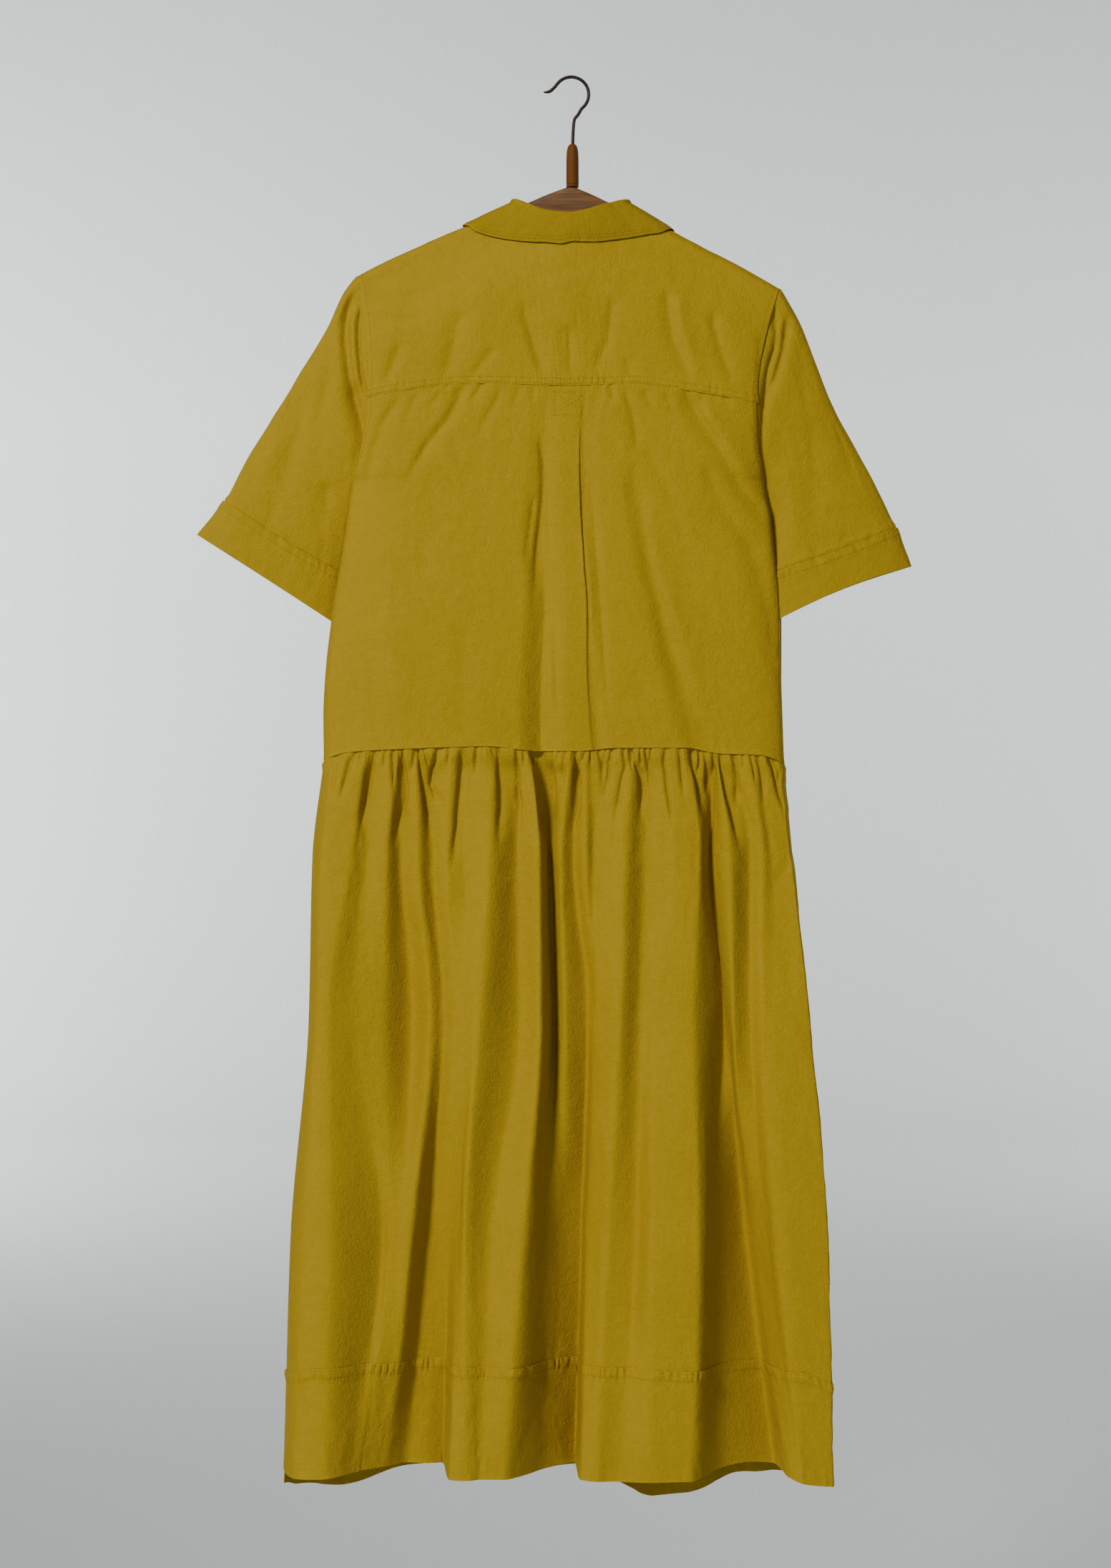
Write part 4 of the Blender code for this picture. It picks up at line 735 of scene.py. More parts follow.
def in_folds(rows, heights, column, height, at):
    """One column of a fold table, at a height and at a distance across the cloth."""
    lines = [smooth_curve(heights[::-1], getattr(row, column)[::-1], height) for row in rows]
    return smooth_curve([row.cloth for row in rows], lines, at)


def back_panel(u, v):
    """The back, with its box pleat. Its top runs on under the yoke."""
    height = mix(PLEAT_HEIGHTS[0], PLEAT_HEIGHTS[-1], v)
    at = u * BACK_CREASES[-1].cloth
    x = in_folds(BACK_CREASES, PLEAT_HEIGHTS, "x", height, at)
    proud = in_folds(BACK_CREASES, PLEAT_HEIGHTS, "proud", height, at)
    proud = proud * mix(PLEAT_PRESSED, 1, ease((v * (YOKE_SEAM[3].z - WAIST) - TUCK) / PLEAT_SET))
    z = mix(seam_height(YOKE_SEAM, x) + TUCK, seam_height(WAIST_SEAM, x), v)
    ends = [smooth_curve(PLEAT_HEIGHTS[::-1], BACK_CREASES[end].x[::-1], height) for end in (0, -1)]
    x = mix(edge("left", z), edge("right", z), (x - ends[0]) / (ends[1] - ends[0]))
    return x, -depth(x, z, "back") - proud, z


def yoke(u, v):
    """The yoke, from the back seam over the shoulders to the front seams.

    Above the row at NECK_ROW, the columns between NECK_COLUMN and 1 - NECK_COLUMN are the neck's opening.
    """
    rising = np.clip(v / NECK_ROW, 0, 1)
    over = np.clip((v - NECK_ROW) / (1 - NECK_ROW), 0, 1)
    run = mix(-run_for(NECK_FALL), run_for(FRONT_YOKE), over)

    def height(x):
        turn_in = np.where(np.abs(x) < NECK_CORNER, read(NECKLINE, "x", "back", x), shoulder(x) - NECK_FALL)
        rise = mix(seam_height(YOKE_SEAM, x), turn_in, rising)
        return np.where(over > 0, shoulder(x) - over_ridge(run), rise)

    neck = mix(NECK_CORNER, NECK_SHOULDER, 1 - np.clip(np.abs(run) / run_for(NECK_FALL), 0, 1) ** 2)
    neck = np.where(over > 0, neck, mix(NECK_BASE, NECK_CORNER, rising))
    left = edge("left", height(np.full(u.shape, SHOULDER[0].x)))
    right = edge("right", height(np.full(u.shape, SHOULDER[-1].x)))
    x = np.where(u < NECK_COLUMN, mix(left, -neck, u / NECK_COLUMN),
                 mix(-neck, neck, (u - NECK_COLUMN) / (1 - 2 * NECK_COLUMN)))
    x = np.where(u > 1 - NECK_COLUMN, mix(right, neck, (1 - u) / NECK_COLUMN), x)
    z = height(x)
    return x, np.where(run > 0, depth(x, z, "front"), -depth(x, z, "back")), z


def outside_neck(u, v):
    return (v < NECK_ROW) | (u < NECK_COLUMN) | (u > 1 - NECK_COLUMN)


def front_panel(side):
    """One front, from the side seam to under the buttoned strip."""
    sign = -1 if side == "left" else 1
    tip = shoulder(np.array([SHOULDER[0].x if side == "left" else SHOULDER[-1].x]))[0]

    def place(u, v):
        side_z = mix(tip - FRONT_YOKE, WAIST, v)
        inner = centre_front(side_z) + sign * (PLACKET_HALF - TUCK)
        x = mix(edge(side, side_z), inner, u)
        neck = read(NECKLINE, "x", "front", x)
        top = np.where(np.abs(x) > NECK_CORNER, shoulder(x) - FRONT_YOKE + TUCK, neck)
        z = mix(top, seam_height(WAIST_SEAM_FRONT, x), v)
        x = x + (edge(side, z) - edge(side, side_z)) * (1 - u)
        return x, depth(x, z, "front"), z

    return place


def placket(u, v):
    """The buttoned strip, standing off the fronts."""
    z = mix(NECK_FRONT, seam_height(WAIST_SEAM_FRONT, u * 0) - 1, v)
    x = centre_front(z) + mix(-PLACKET_HALF, PLACKET_HALF, u)
    return x, depth(x, z, "front") + PLACKET_PROUD, z


def bodice_foot(face, x):
    """y of the bodice's lower edge, to which the skirt is sewn."""
    if face > 0:
        return depth(x, np.full(x.shape, WAIST), "front")
    spots = back_panel(np.linspace(0, 1, 300), np.ones(300))
    return np.interp(x, np.maximum.accumulate(spots[0]), spots[1])


def hanging(folds, face, first, last):
    """A panel that hangs in a table's folds between two edges, each a height and a seam table.

    face is -1 behind and 1 before.
    """

    def place(u, v):
        height = mix(first[0], last[0], v)
        at = u * folds[-1].cloth
        x = in_folds(folds, SKIRT_HEIGHTS, "x", height, at)
        y = in_folds(folds, SKIRT_HEIGHTS, "y", height, at)
        if first[0] == WAIST:
            y = mix(bodice_foot(face, x) - face * SEAM_STEP, y, ease((WAIST - height) / SEAM_RUN))
        near_side = 1 - np.minimum(at, folds[-1].cloth - at).clip(0, 4) / 4
        z = mix(seam_height(first[1], x), seam_height(last[1], x), v)
        return x, y + face * SIDE_LAP * near_side, z

    return place


def tube(side, first, last, grow=0.0, tucked=0.0):
    """A stretch of a sleeve; u goes round it from its outer edge over the back."""
    rows = SLEEVES[side]
    sign = -1 if side == "left" else 1

    def place(u, v):
        along = mix(first, last, v)
        outer_x, outer_z, inner_x, inner_z, outer_y, inner_y, half, sag = (
            read(rows, "along", column, np.maximum(along, 0)) for column in Sleeve._fields[1:])
        inward = (1 - np.cos(2 * pi * u)) / 2
        face = np.where(u < 0.5, -1, 1)
        armhole_z = mix(rows[0].outer_z, rows[0].inner_z, inward)
        armhole_x = edge(side, armhole_z)
        bow = armhole_x - mix(rows[0].outer_x, rows[0].inner_x, inward)
        flat = np.sqrt(np.maximum(1 - np.abs(2 * inward - 1) ** TUBE_POWER, 0))
        rim = depth(armhole_x, armhole_z, "back") - ARMHOLE_IN
        half = mix(rim, (half + grow) * flat, ease(along / SLEEVE_BLEND[0]))
        half = np.where((inward < TINY) | (inward > 1 - TINY), 0, half)
        x = mix(outer_x, inner_x, inward) + bow * (1 - ease(along / SLEEVE_BLEND[1]))
        x = x + sign * (SLEEVE_OUT - tucked * ease(-along / SLEEVE_TUCK) + grow * np.cos(2 * pi * u))
        z = mix(outer_z, inner_z, inward) - sag * np.sin(pi * inward)
        return x, mix(outer_y, inner_y, inward) + face * half, z

    return place


def collar_fold(turn):
    """The fold along the collar's top, and the way out from the neck there."""
    x, y, z = (read(COLLAR, "turn", column, turn) for column in ("roll_x", "roll_y", "roll_z"))
    out_x, out_y = x / NECK_OVAL[0] ** 2, y / NECK_OVAL[1] ** 2
    size = np.hypot(out_x, out_y)
    return x, y, z, out_x / size, out_y / size


def collar(u, v):
    """The collar's leaf: up inside the fold, over it and down to the edge."""
    turn = u * COLLAR[-1].turn
    x, y, z, out_x, out_y = collar_fold(turn)
    edge_x, run = read(COLLAR, "turn", "edge_x", turn), read(COLLAR, "turn", "edge_run", turn)
    face = np.where(run > 0, 1, -1)
    lean = np.minimum(np.abs(run) / RIDGE_ROUND, pi / 2)
    edge_z = shoulder(edge_x) - over_ridge(run)
    edge_depth = np.where(run > 0, depth(edge_x, edge_z, "front"), depth(edge_x, edge_z, "back"))
    edge_y = face * (edge_depth + COLLAR_LIFT * np.sin(lean))
    edge_z = edge_z + COLLAR_LIFT * np.cos(lean)
    swing = np.minimum(v / COLLAR_FOLD_ROW, 1) * pi
    down = np.clip((v - COLLAR_FOLD_ROW) / (1 - COLLAR_FOLD_ROW), 0, 1)
    fold_x = x - out_x * ROLL_HALF * np.cos(swing)
    fold_y = y - out_y * ROLL_HALF * np.cos(swing)
    fold_z = z - ROLL_DROP * (1 - np.sin(swing))
    belly = COLLAR_BELLY * np.sin(pi * down)
    return (mix(fold_x, edge_x, down) + out_x * belly, mix(fold_y, edge_y, down) + out_y * belly,
            mix(fold_z, edge_z, down))


def collar_stand(u, v):
    """The band that carries the collar, from inside its fold down to the neckline."""
    turn = u * COLLAR[-1].turn
    x, y, z, out_x, out_y = collar_fold(turn)
    neck_x = read(COLLAR, "turn", "neck_x", turn)
    behind = (turn > SHOULDER_TURNS[0]) & (turn < SHOULDER_TURNS[1])
    neck_z = np.where(behind, read(NECKLINE, "x", "back", neck_x), read(NECKLINE, "x", "front", neck_x))
    neck_y = np.where(behind, -depth(neck_x, neck_z, "back"), depth(neck_x, neck_z, "front"))
    foot_x, foot_y = neck_x - out_x * STAND_INSET, neck_y - out_y * STAND_INSET
    return (mix(x - out_x * ROLL_HALF, foot_x, v), mix(y - out_y * ROLL_HALF, foot_y, v),
            mix(z - ROLL_DROP, neck_z - 1, v))


# ---------------------------------------------------------------- cloth as a grid of points


class Cloth:
    """A sheet as a grid of points in millimetres, with rows down it and columns across it.

    out is 1 where the way down, crossed with the way across, points out of the dress, and -1 elsewhere.
    closed is for a tube, whose last column meets its first. Its wear values make the cotton lighter where it
    rubs, and values below zero are painted shade that darkens it, as over the collar's leaf.
    """

    def __init__(self, node, place, columns, rows, out, closed=False):
        self.node, self.cut = node, CUTS[node]
        self.wall = settings().wall_single if self.cut.layers == 1 else settings().wall_double
        self.columns, self.rows = columns, rows
        self.u, self.v = np.meshgrid(columns, rows)
        places = place(self.u.ravel(), self.v.ravel())
        self.points = np.stack(places, axis=-1).reshape(*self.u.shape, 3)
        self.out, self.closed = out, closed
        self.across, self.down = self.u * self.cut.width, self.v * self.cut.length
        self.wear = np.zeros(self.u.shape)

    x, y, z = (property(lambda self, axis=axis: self.points[..., axis]) for axis in range(3))

    def normals(self):
        """Unit vectors out of the dress."""
        points = self.points
        if self.closed:
            points = np.concatenate([points[:, -2:-1], points, points[:, 1:2]], axis=1)
        normal = np.cross(np.gradient(points, axis=0), np.gradient(points, axis=1)) * self.out
        if self.closed:
            normal = normal[:, 1:-1]
        return normal / np.maximum(np.linalg.norm(normal, axis=-1, keepdims=True), TINY)

    def spread(self, pattern):
        """A pattern of the ways across and down, joined up with itself where the sheet is a tube."""
        heights = pattern(self.across, self.down)
        if self.closed:
            again = pattern(self.across - self.cut.width, self.down)
            heights = mix(heights, again, ease((self.u - JOIN) / (1 - JOIN)))
        return heights

    def creases(self, seed, share=1):
        """Heights of the creases that washing leaves, as a share of their setting."""
        return settings().creasing / MM * share * self.spread(lambda a, d: noisy_creases(a, d, seed))

    def lift(self, heights):
        """Move every point out of the dress by its height."""
        self.points = self.points + self.normals() * np.asarray(heights)[..., None]

    def from_edge(self, edge):
        """Points and normals with this edge's points first, and their distances from it along the cloth."""
        turned = {"top": lambda grid: grid, "foot": lambda grid: grid[::-1],
                  "first": lambda grid: grid.swapaxes(0, 1),
                  "last": lambda grid: grid.swapaxes(0, 1)[::-1]}[edge]
        points = turned(self.points)
        steps = np.linalg.norm(np.diff(points, axis=0), axis=-1)
        runs = np.concatenate([np.zeros((1, points.shape[1])), np.cumsum(steps, axis=0)])
        return points, turned(self.normals()), runs

    def distance(self, edge):
        """Distance of every point from an edge, measured along the cloth."""
        runs = self.from_edge(edge)[2]
        return {"top": runs, "foot": runs[::-1], "first": runs.T, "last": runs[::-1].T}[edge]

    def from_sides(self):
        """Distance of every point from the nearer side."""
        return np.minimum(self.distance("first"), self.distance("last"))

    def row_beside(self, edge, distance, start=0.0, end=1.0):
        """Points on the outer face that keep a distance from an edge, between two shares of its length."""
        points, normals, runs = self.from_edge(edge)
        count = points.shape[1]
        chosen = range(int(start * (count - 1)), int(end * (count - 1)) + 1)
        line = []
        for column in chosen:
            step = min(np.searchsorted(runs[:, column], distance), len(runs) - 1)
            before, after = runs[step - 1, column], runs[step, column]
            t = (distance - before) / max(after - before, TINY)
            spot = mix(points[step - 1, column], points[step, column], t)
            normal = mix(normals[step - 1, column], normals[step, column], t)
            line.append(spot + normal * (self.wall / MM / 2 + STITCH_LIFT))
        return line

    def rows_beside(self, edge, kind, *stretch):
        """The rows of stitches that a kind of seam has beside an edge."""
        return [self.row_beside(edge, away, *stretch) for away in SEAM_ROWS[kind]]

    def across_face(self, start, end):
        """A straight line of points on the outer face between two places, each told as u and v."""
        spots = np.stack([self.points, self.normals()])
        line = []
        for t in np.linspace(0, 1, 25):
            u, v = mix(np.array(start), np.array(end), t)
            column, row = np.searchsorted(self.columns, u) - 1, np.searchsorted(self.rows, v) - 1
            x = (u - self.columns[column]) / (self.columns[column + 1] - self.columns[column])
            y = (v - self.rows[row]) / (self.rows[row + 1] - self.rows[row])
            near = spots[:, row:row + 2, column:column + 2]
            point, normal = mix(mix(near[:, 0, 0], near[:, 0, 1], x), mix(near[:, 1, 0], near[:, 1, 1], x), y)
            line.append(point + normal * (self.wall / MM / 2 + STITCH_LIFT))
        return line


def noisy_creases(across, down, seed):
    """The uneven surface of washed cotton: broad swells, then finer creases with sharp crests."""
    swell = noise(across / SWELL.across, down / SWELL.down, seed)
    crease = 0.5 - np.abs(noise(across / CREASE.across + swell * 0.6, down / CREASE.down, seed + 1))
    ripple = noise(across / RIPPLE.across, down / RIPPLE.down, seed + 2)
    return SWELL.share * swell + CREASE.share * crease + RIPPLE.share * ripple


def near(away, reach):
    """1 at a line, dying out over a reach from it."""
    return np.exp(-(away / reach) ** 2)


def puckers(kind, seed, across, away):
    """Short ridges across a stitched seam, at distances along it and away from it."""
    spacing, reach, share = PUCKERS[kind]
    ridges = 1 - 2 * np.abs(noise(across / spacing, away / PUCKER_LONG, seed))
    uneven = 0.65 + 0.5 * noise(across / (6 * spacing), away / PUCKER_LONG, seed + 1)
    return settings().pucker / MM * share * (ridges * uneven * near(away, reach))


def near_line(x, z, path):
    """Every point's distance from a line, positive on its right on the way down, and how far along it is."""
    corners = np.array(path, float)
    lengths = np.hypot(*np.diff(corners, axis=0).T)
    best = np.full(x.shape, np.inf)
    beside, along = np.zeros(x.shape), np.zeros(x.shape)
    walked = 0.0
    for start, end, length in zip(corners, corners[1:], lengths):
        run_x, run_z = (end - start) / length
        step = np.clip((x - start[0]) * run_x + (z - start[1]) * run_z, 0, length)
        away_x, away_z = x - start[0] - run_x * step, z - start[1] - run_z * step
        gap = np.hypot(away_x, away_z)
        nearer = gap < best
        best = np.where(nearer, gap, best)
        beside = np.where(nearer, np.copysign(gap, run_x * away_z - run_z * away_x), beside)
        along = np.where(nearer, (walked + step) / lengths.sum(), along)
        walked += length
    return beside, along


def drawn(x, z, lines):
    """Height of a table's troughs and ridges at each point."""
    height = np.zeros(x.shape)
    for line in lines:
        beside, along = near_line(x, z, line.path)
        width = line.width * np.where(beside > 0, 1 - line.lean, 1 + line.lean)
        fade = ease(along / LINE_FADES[0]) * ease((1 - along) / LINE_FADES[1])
        height += line.height * np.exp(-np.abs(beside / width) ** LINE_ROUND) * fade
    return height


def sew(name, cloth, keep=None, rows=()):
    """Make a sheet a piece: its mesh, wall, finish and stitches."""
    shape = cloth.u.shape
    index = np.arange(cloth.u.size).reshape(shape)
    quads = np.stack([index[:-1, :-1], index[1:, :-1], index[1:, 1:], index[:-1, 1:]], axis=-1).reshape(-1, 4)
    if keep is not None:
        quads = quads[keep(cloth.u.ravel()[quads].mean(axis=1), cloth.v.ravel()[quads].mean(axis=1))]
    if cloth.out < 0:
        quads = quads[:, ::-1]
    mesh = bpy.data.meshes.new(name)
    mesh.from_pydata((cloth.points.reshape(-1, 3) * MM).tolist(), [], quads.tolist())
    flat = np.stack([cloth.across, -cloth.down], axis=-1).reshape(-1, 2) * MM
    mesh.uv_layers.new(name="cloth").data.foreach_set("uv", flat[quads.ravel()].ravel())
    mesh.attributes.new("wear", "FLOAT", "POINT").data.foreach_set("value", cloth.wear.ravel())
    sheet = bmesh.new()
    sheet.from_mesh(mesh)
    bmesh.ops.delete(sheet, geom=[vert for vert in sheet.verts if not vert.link_faces], context="VERTS")
    if cloth.closed:
        bmesh.ops.remove_doubles(sheet, verts=sheet.verts, dist=TINY)
    for face in sheet.faces:
        face.smooth = True
    for rim in sheet.edges:
        rim.smooth = not rim.is_boundary
    sheet.to_mesh(mesh)
    sheet.free()
    piece = add_piece(name, mesh, "mustard cotton", "cotton", cloth.node)
    solid = piece.modifiers.new("wall", "SOLIDIFY")
    solid.thickness = cloth.wall
    solid.offset = 0.0
    pieces = [stitch_rows(name + "_stitches", rows)] if rows else []
    cut = cloth.cut
    cut.width * MM
    cut.share * cut.width * cut.length * MM**2


def add_piece(name, mesh, finish, slot, *nodes):
    """Put a mesh in the scene as a piece that takes the place of CAD nodes."""
    mesh.materials.append(finish_of(finish))
    piece = bpy.data.objects.new(name, mesh)
    bpy.context.scene.collection.objects.link(piece)
    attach(piece, "root")
    if nodes:
        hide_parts(*nodes)
    return piece


# ---------------------------------------------------------------- node trees


class Wire:
    """An output socket, on which arithmetic adds Math nodes."""

    def __init__(self, tree, socket):
        self.tree, self.socket = tree, socket

    def maths(self, operation, *values):
        return self.tree.node("ShaderNodeMath", {"operation": operation}, dict(enumerate(values)))

    def __add__(self, other):
        return self.maths("ADD", self, other)

    def __sub__(self, other):
        return self.maths("SUBTRACT", self, other)

    def __mul__(self, other):
        return self.maths("MULTIPLY", self, other)

    def __rsub__(self, other):
        return self.maths("SUBTRACT", other, self)

    def __abs__(self):
        return self.maths("ABSOLUTE", self)

    __radd__ = __add__
    __rmul__ = __mul__


class Tree:
    """A node tree under construction."""

    def __init__(self, tree):
        self.tree = tree

    def node(self, kind, options=None, inputs=None, output=0):
        """Add a node with its options first, then its sockets' values or wires; give one output's wire."""
        made = self.tree.nodes.new(kind)
        for name, value in (options or {}).items():
            if name == "stops":
                ramp = made.color_ramp
                while len(ramp.elements) < len(value):
                    ramp.elements.new(0.5)
                for element, (place, colour) in zip(ramp.elements, value):
                    element.position, element.color = place, colour
            else:
                setattr(made, name, value)
        for name, value in (inputs or {}).items():
            if isinstance(value, Wire):
                self.tree.links.new(value.socket, made.inputs[name])
            else:
                made.inputs[name].default_value = value
        return Wire(self, made.outputs[output])

    def link_output(self, kind, name, wire):
        made = self.tree.nodes.new(kind)
        self.tree.links.new(wire.socket, made.inputs[name])


class Finish(Tree):
    """A material under construction."""

    def __init__(self, name):
        self.material = bpy.data.materials.new(name)
        self.material.use_nodes = True
        super().__init__(self.material.node_tree)
        self.tree.nodes.clear()

    def noise(self, where, scale, detail=2.0, roughness=0.5, stretch=None):
        if stretch:
            where = self.node("ShaderNodeMapping", None, {"Vector": where, "Scale": stretch})
        sockets = {"Vector": where, "Scale": scale, "Detail": detail, "Roughness": roughness}
        return self.node("ShaderNodeTexNoise", None, sockets, "Fac")

    def ramp(self, factor, *stops):
        return self.node("ShaderNodeValToRGB", {"stops": stops}, {"Fac": factor})

    def blend(self, first, second, share):
        return self.node("ShaderNodeMix", {"data_type": "RGBA"}, {0: share, 6: first, 7: second}, 2)

    def shade(self, colour, factor):
        """A colour made lighter or darker by a factor around 1."""
        return self.node("ShaderNodeVectorMath", {"operation": "SCALE"}, {0: tuple(colour), "Scale": factor})

    def bump(self, height, distance, strength=1.0, under=None):
        sockets = {"Height": height, "Distance": distance, "Strength": strength}
        if under:
            sockets["Normal"] = under
        return self.node("ShaderNodeBump", None, sockets)


def settings():
    return bpy.context.scene.dress


def mustard_cotton(finish, place):
    dress = settings()
    where = finish.node("ShaderNodeUVMap", {"uv_map": "cloth"})
    patches = finish.noise(place, 16, 3.0)
    along, across = (finish.noise(where, 600, 2.0, 0.6, stretch) for stretch in ((1, 0.05, 1), (0.05, 1, 1)))
    # The wear attribute lightens the cotton where it rubs, and where it is below zero it darkens it as
    # painted shade.
    wear = finish.node("ShaderNodeAttribute", {"attribute_name": "wear"}, None, "Fac")
    # This noise is the fine crumple's height: it bumps the cloth and is painted into the colour too, lighter
    # on the crests and darker in the hollows, as painted shade.
    crush_and_shade = finish.noise(place, 130, 5.0, 0.75)
    lightness = 0.8 + patches * 0.1 + (along + across - 1) * 0.1 + crush_and_shade * 0.24 + wear * 0.08
    warp, weft = (finish.node("ShaderNodeTexWave", {"bands_direction": way},
                              {"Vector": where, "Scale": dress.threads, "Distortion": 0.4}) for way in "XY")
    weave = finish.bump(warp.maths("MAXIMUM", warp, weft), 0.00004, 0.5)
    crinkle = abs(finish.noise(place, 210, 3.0, 0.6) - 0.5) * -1.2 + finish.noise(place, 620, 2.0, 0.6) * 0.4
    return {"Base Color": finish.shade(dress.cotton, lightness), "Roughness": 0.82 + patches * 0.1,
            "Normal": finish.bump(crush_and_shade + crinkle, 0.003, dress.crinkle, weave), "Specular IOR Level": 0.04}


def mustard_thread(finish, place):
    twist = finish.noise(place, 1800)
    return {"Base Color": finish.shade(settings().thread, 0.8 + twist * 0.4), "Roughness": 0.6,
            "Normal": finish.bump(twist, 0.0002, 0.5), "Specular IOR Level": 0.1}


def horn(finish, place):
    cloud = finish.noise(place, 220, 3.0, 0.6)
    return {"Base Color": finish.ramp(cloud, (0.35, (0.05, 0.028, 0.01, 1)), (0.65, (0.2, 0.12, 0.045, 1))),
            "Roughness": 0.28 + cloud * 0.12, "Coat Weight": 0.2, "Normal": finish.bump(cloud, 0.0001, 0.3)}


def walnut(finish, place):
    dress = settings()
    figure = finish.noise(place, 60, 3.0, 0.55, (0.09, 1, 1)) * 40
    pores = finish.noise(place, 900, 2.0, 0.7, (0.05, 1, 1))
    grain = figure.maths("SINE", figure) * 0.5 + 0.5
    colour = finish.blend((*dress.wood_dark, 1), (*dress.wood, 1), grain * 0.55 + pores * 0.45)
    return {"Base Color": colour, "Roughness": 0.5 - grain * 0.12, "Normal": finish.bump(pores, 0.0002, 0.4),
            "Specular IOR Level": 0.3}


def beech(finish, place):
    figure = finish.noise(place, 300, 3.0, 0.6, (1, 1, 0.06))
    flecks = finish.noise(place, 1500, 1.0, 0.6, (1, 1, 0.15))
    return {"Base Color": finish.shade(settings().stem, 0.62 + figure * 0.55 + flecks * 0.2),
            "Roughness": 0.62 + flecks * 0.12, "Normal": finish.bump(flecks, 0.0001, 0.4),
            "Specular IOR Level": 0.12}


def black_iron(finish, place):
    scale = finish.noise(place, 500, 3.0, 0.6)
    return {"Base Color": finish.ramp(scale, (0.4, (0.02, 0.016, 0.014, 1)), (0.7, (0.075, 0.05, 0.035, 1))),
            "Roughness": 0.4 + scale * 0.25, "Metallic": 0.8, "Normal": finish.bump(scale, 0.0002, 0.3)}


def pale_paint(finish, place):
    roller = finish.noise(place, 1.4)
    return {"Base Color": finish.shade(settings().wall, 0.98 + roller * 0.04), "Roughness": 0.9}


FINISHES = {"mustard cotton": mustard_cotton, "mustard thread": mustard_thread, "horn": horn,
            "walnut": walnut, "beech": beech, "black iron": black_iron, "pale paint": pale_paint}


@cache
def finish_of(name):
    """The material with this name, built the first time that it is asked for."""
    finish = Finish(name)
    sockets = FINISHES[name](finish, finish.node("ShaderNodeTexCoord", None, None, "Object"))
    shader = finish.node("ShaderNodeBsdfPrincipled", None, sockets)
    finish.link_output("ShaderNodeOutputMaterial", "Surface", shader)
    return finish.material


# ---------------------------------------------------------------- what repeats: stitches and buttons


class Rule(Tree):
    """A Geometry Nodes tree under construction, with named inputs."""

    def __init__(self, name, inputs):
        super().__init__(bpy.data.node_groups.new(name, "GeometryNodeTree"))
        self.tree.interface.new_socket("Geometry", in_out="OUTPUT", socket_type="NodeSocketGeometry")
        self.keys = {}
        for label, kind in {"Geometry": "Geometry", **inputs}.items():
            made = self.tree.interface.new_socket(label, in_out="INPUT", socket_type="NodeSocket" + kind)
            self.keys[label] = made.identifier
        self.source = self.tree.nodes.new("NodeGroupInput")

    def given(self, label):
        return Wire(self, self.source.outputs[label])

    def close(self, points, shape, sockets, finish):
        """Put the shape on every point, make the copies real, give them a finish and end the tree."""
        sockets = {"Points": points, "Instance": shape, **sockets}
        copies = self.node("GeometryNodeInstanceOnPoints", None, sockets)
        real = self.node("GeometryNodeRealizeInstances", None, {0: copies})
        smooth = self.node("GeometryNodeSetShadeSmooth", None, {0: real})
        sockets = {"Geometry": smooth, "Material": finish_of(finish)}
        self.link_output("NodeGroupOutput", 0, self.node("GeometryNodeSetMaterial", None, sockets))

    def apply(self, name, source, values, finish, slot, *nodes):
        """Run the tree on an object and keep what it makes as a plain mesh."""
        bpy.context.scene.collection.objects.link(source)
        modifier = source.modifiers.new("rule", "NODES")
        modifier.node_group = self.tree
        for label, value in values.items():
            modifier[self.keys[label]] = value
        mesh = bpy.data.meshes.new_from_object(source.evaluated_get(bpy.context.evaluated_depsgraph_get()))
        bpy.data.objects.remove(source)
        mesh.materials.clear()
        mesh.name = name
        return add_piece(name, mesh, finish, slot, *nodes)


def stitch_rows(name, rows):
    """Stitches laid end to end along lines of points in millimetres."""
    dress = settings()
    curves = bpy.data.curves.new(name + "_lines", "CURVE")
    curves.dimensions = "3D"
    for row in rows:
        spline = curves.splines.new("POLY")
        spline.points.add(len(row) - 1)
        spline.points.foreach_set("co", np.hstack([np.array(row) * MM, np.ones((len(row), 1))]).ravel())
    rule = Rule("stitches", {"Stitch": "Float", "Gap": "Float", "Thread": "Float", "Slant": "Float",
                             "Seed": "Int"})
    stitch, thick, slant = (rule.given(label) for label in ("Stitch", "Thread", "Slant"))
    points = rule.node("GeometryNodeCurveToPoints", {"mode": "LENGTH"},
                       {"Curve": rule.given("Geometry"), "Length": stitch + rule.given("Gap")})
    tangent = Wire(rule, points.socket.node.outputs["Tangent"])
    turn = rule.node("FunctionNodeAlignRotationToVector", {"axis": "X"}, {"Vector": tangent})
    low, high = (rule.node("ShaderNodeVectorMath", {"operation": "SCALE"}, {0: (1, 1, 1), "Scale": scale})
                 for scale in (0 - slant, slant))
    uneven = rule.node("FunctionNodeRandomValue", {"data_type": "FLOAT_VECTOR"},
                       {"Min": low, "Max": high, "Seed": rule.given("Seed")})
    turned = rule.node("FunctionNodeRotateRotation", None, {0: turn, 1: uneven})
    size = rule.node("ShaderNodeCombineXYZ", None, {"X": stitch * 0.5, "Y": thick, "Z": thick})
    thread = rule.node("GeometryNodeMeshUVSphere", None, {"Segments": 6, "Rings": 3, "Radius": 1.0})
    rule.close(points, thread, {"Rotation": turned, "Scale": size}, "mustard thread")
    values = {"Stitch": dress.stitch, "Gap": dress.stitch_gap, "Thread": dress.thread_radius,
              "Slant": STITCH_SLANT, "Seed": len(name)}
    return rule.apply(name, bpy.data.objects.new(name, curves), values, "mustard thread", "cotton")


# ---------------------------------------------------------------- what a user would change


def amount(name, description, default, least=0, **kind):
    return FloatProperty(name=name, description=description, default=default, min=least, **kind)


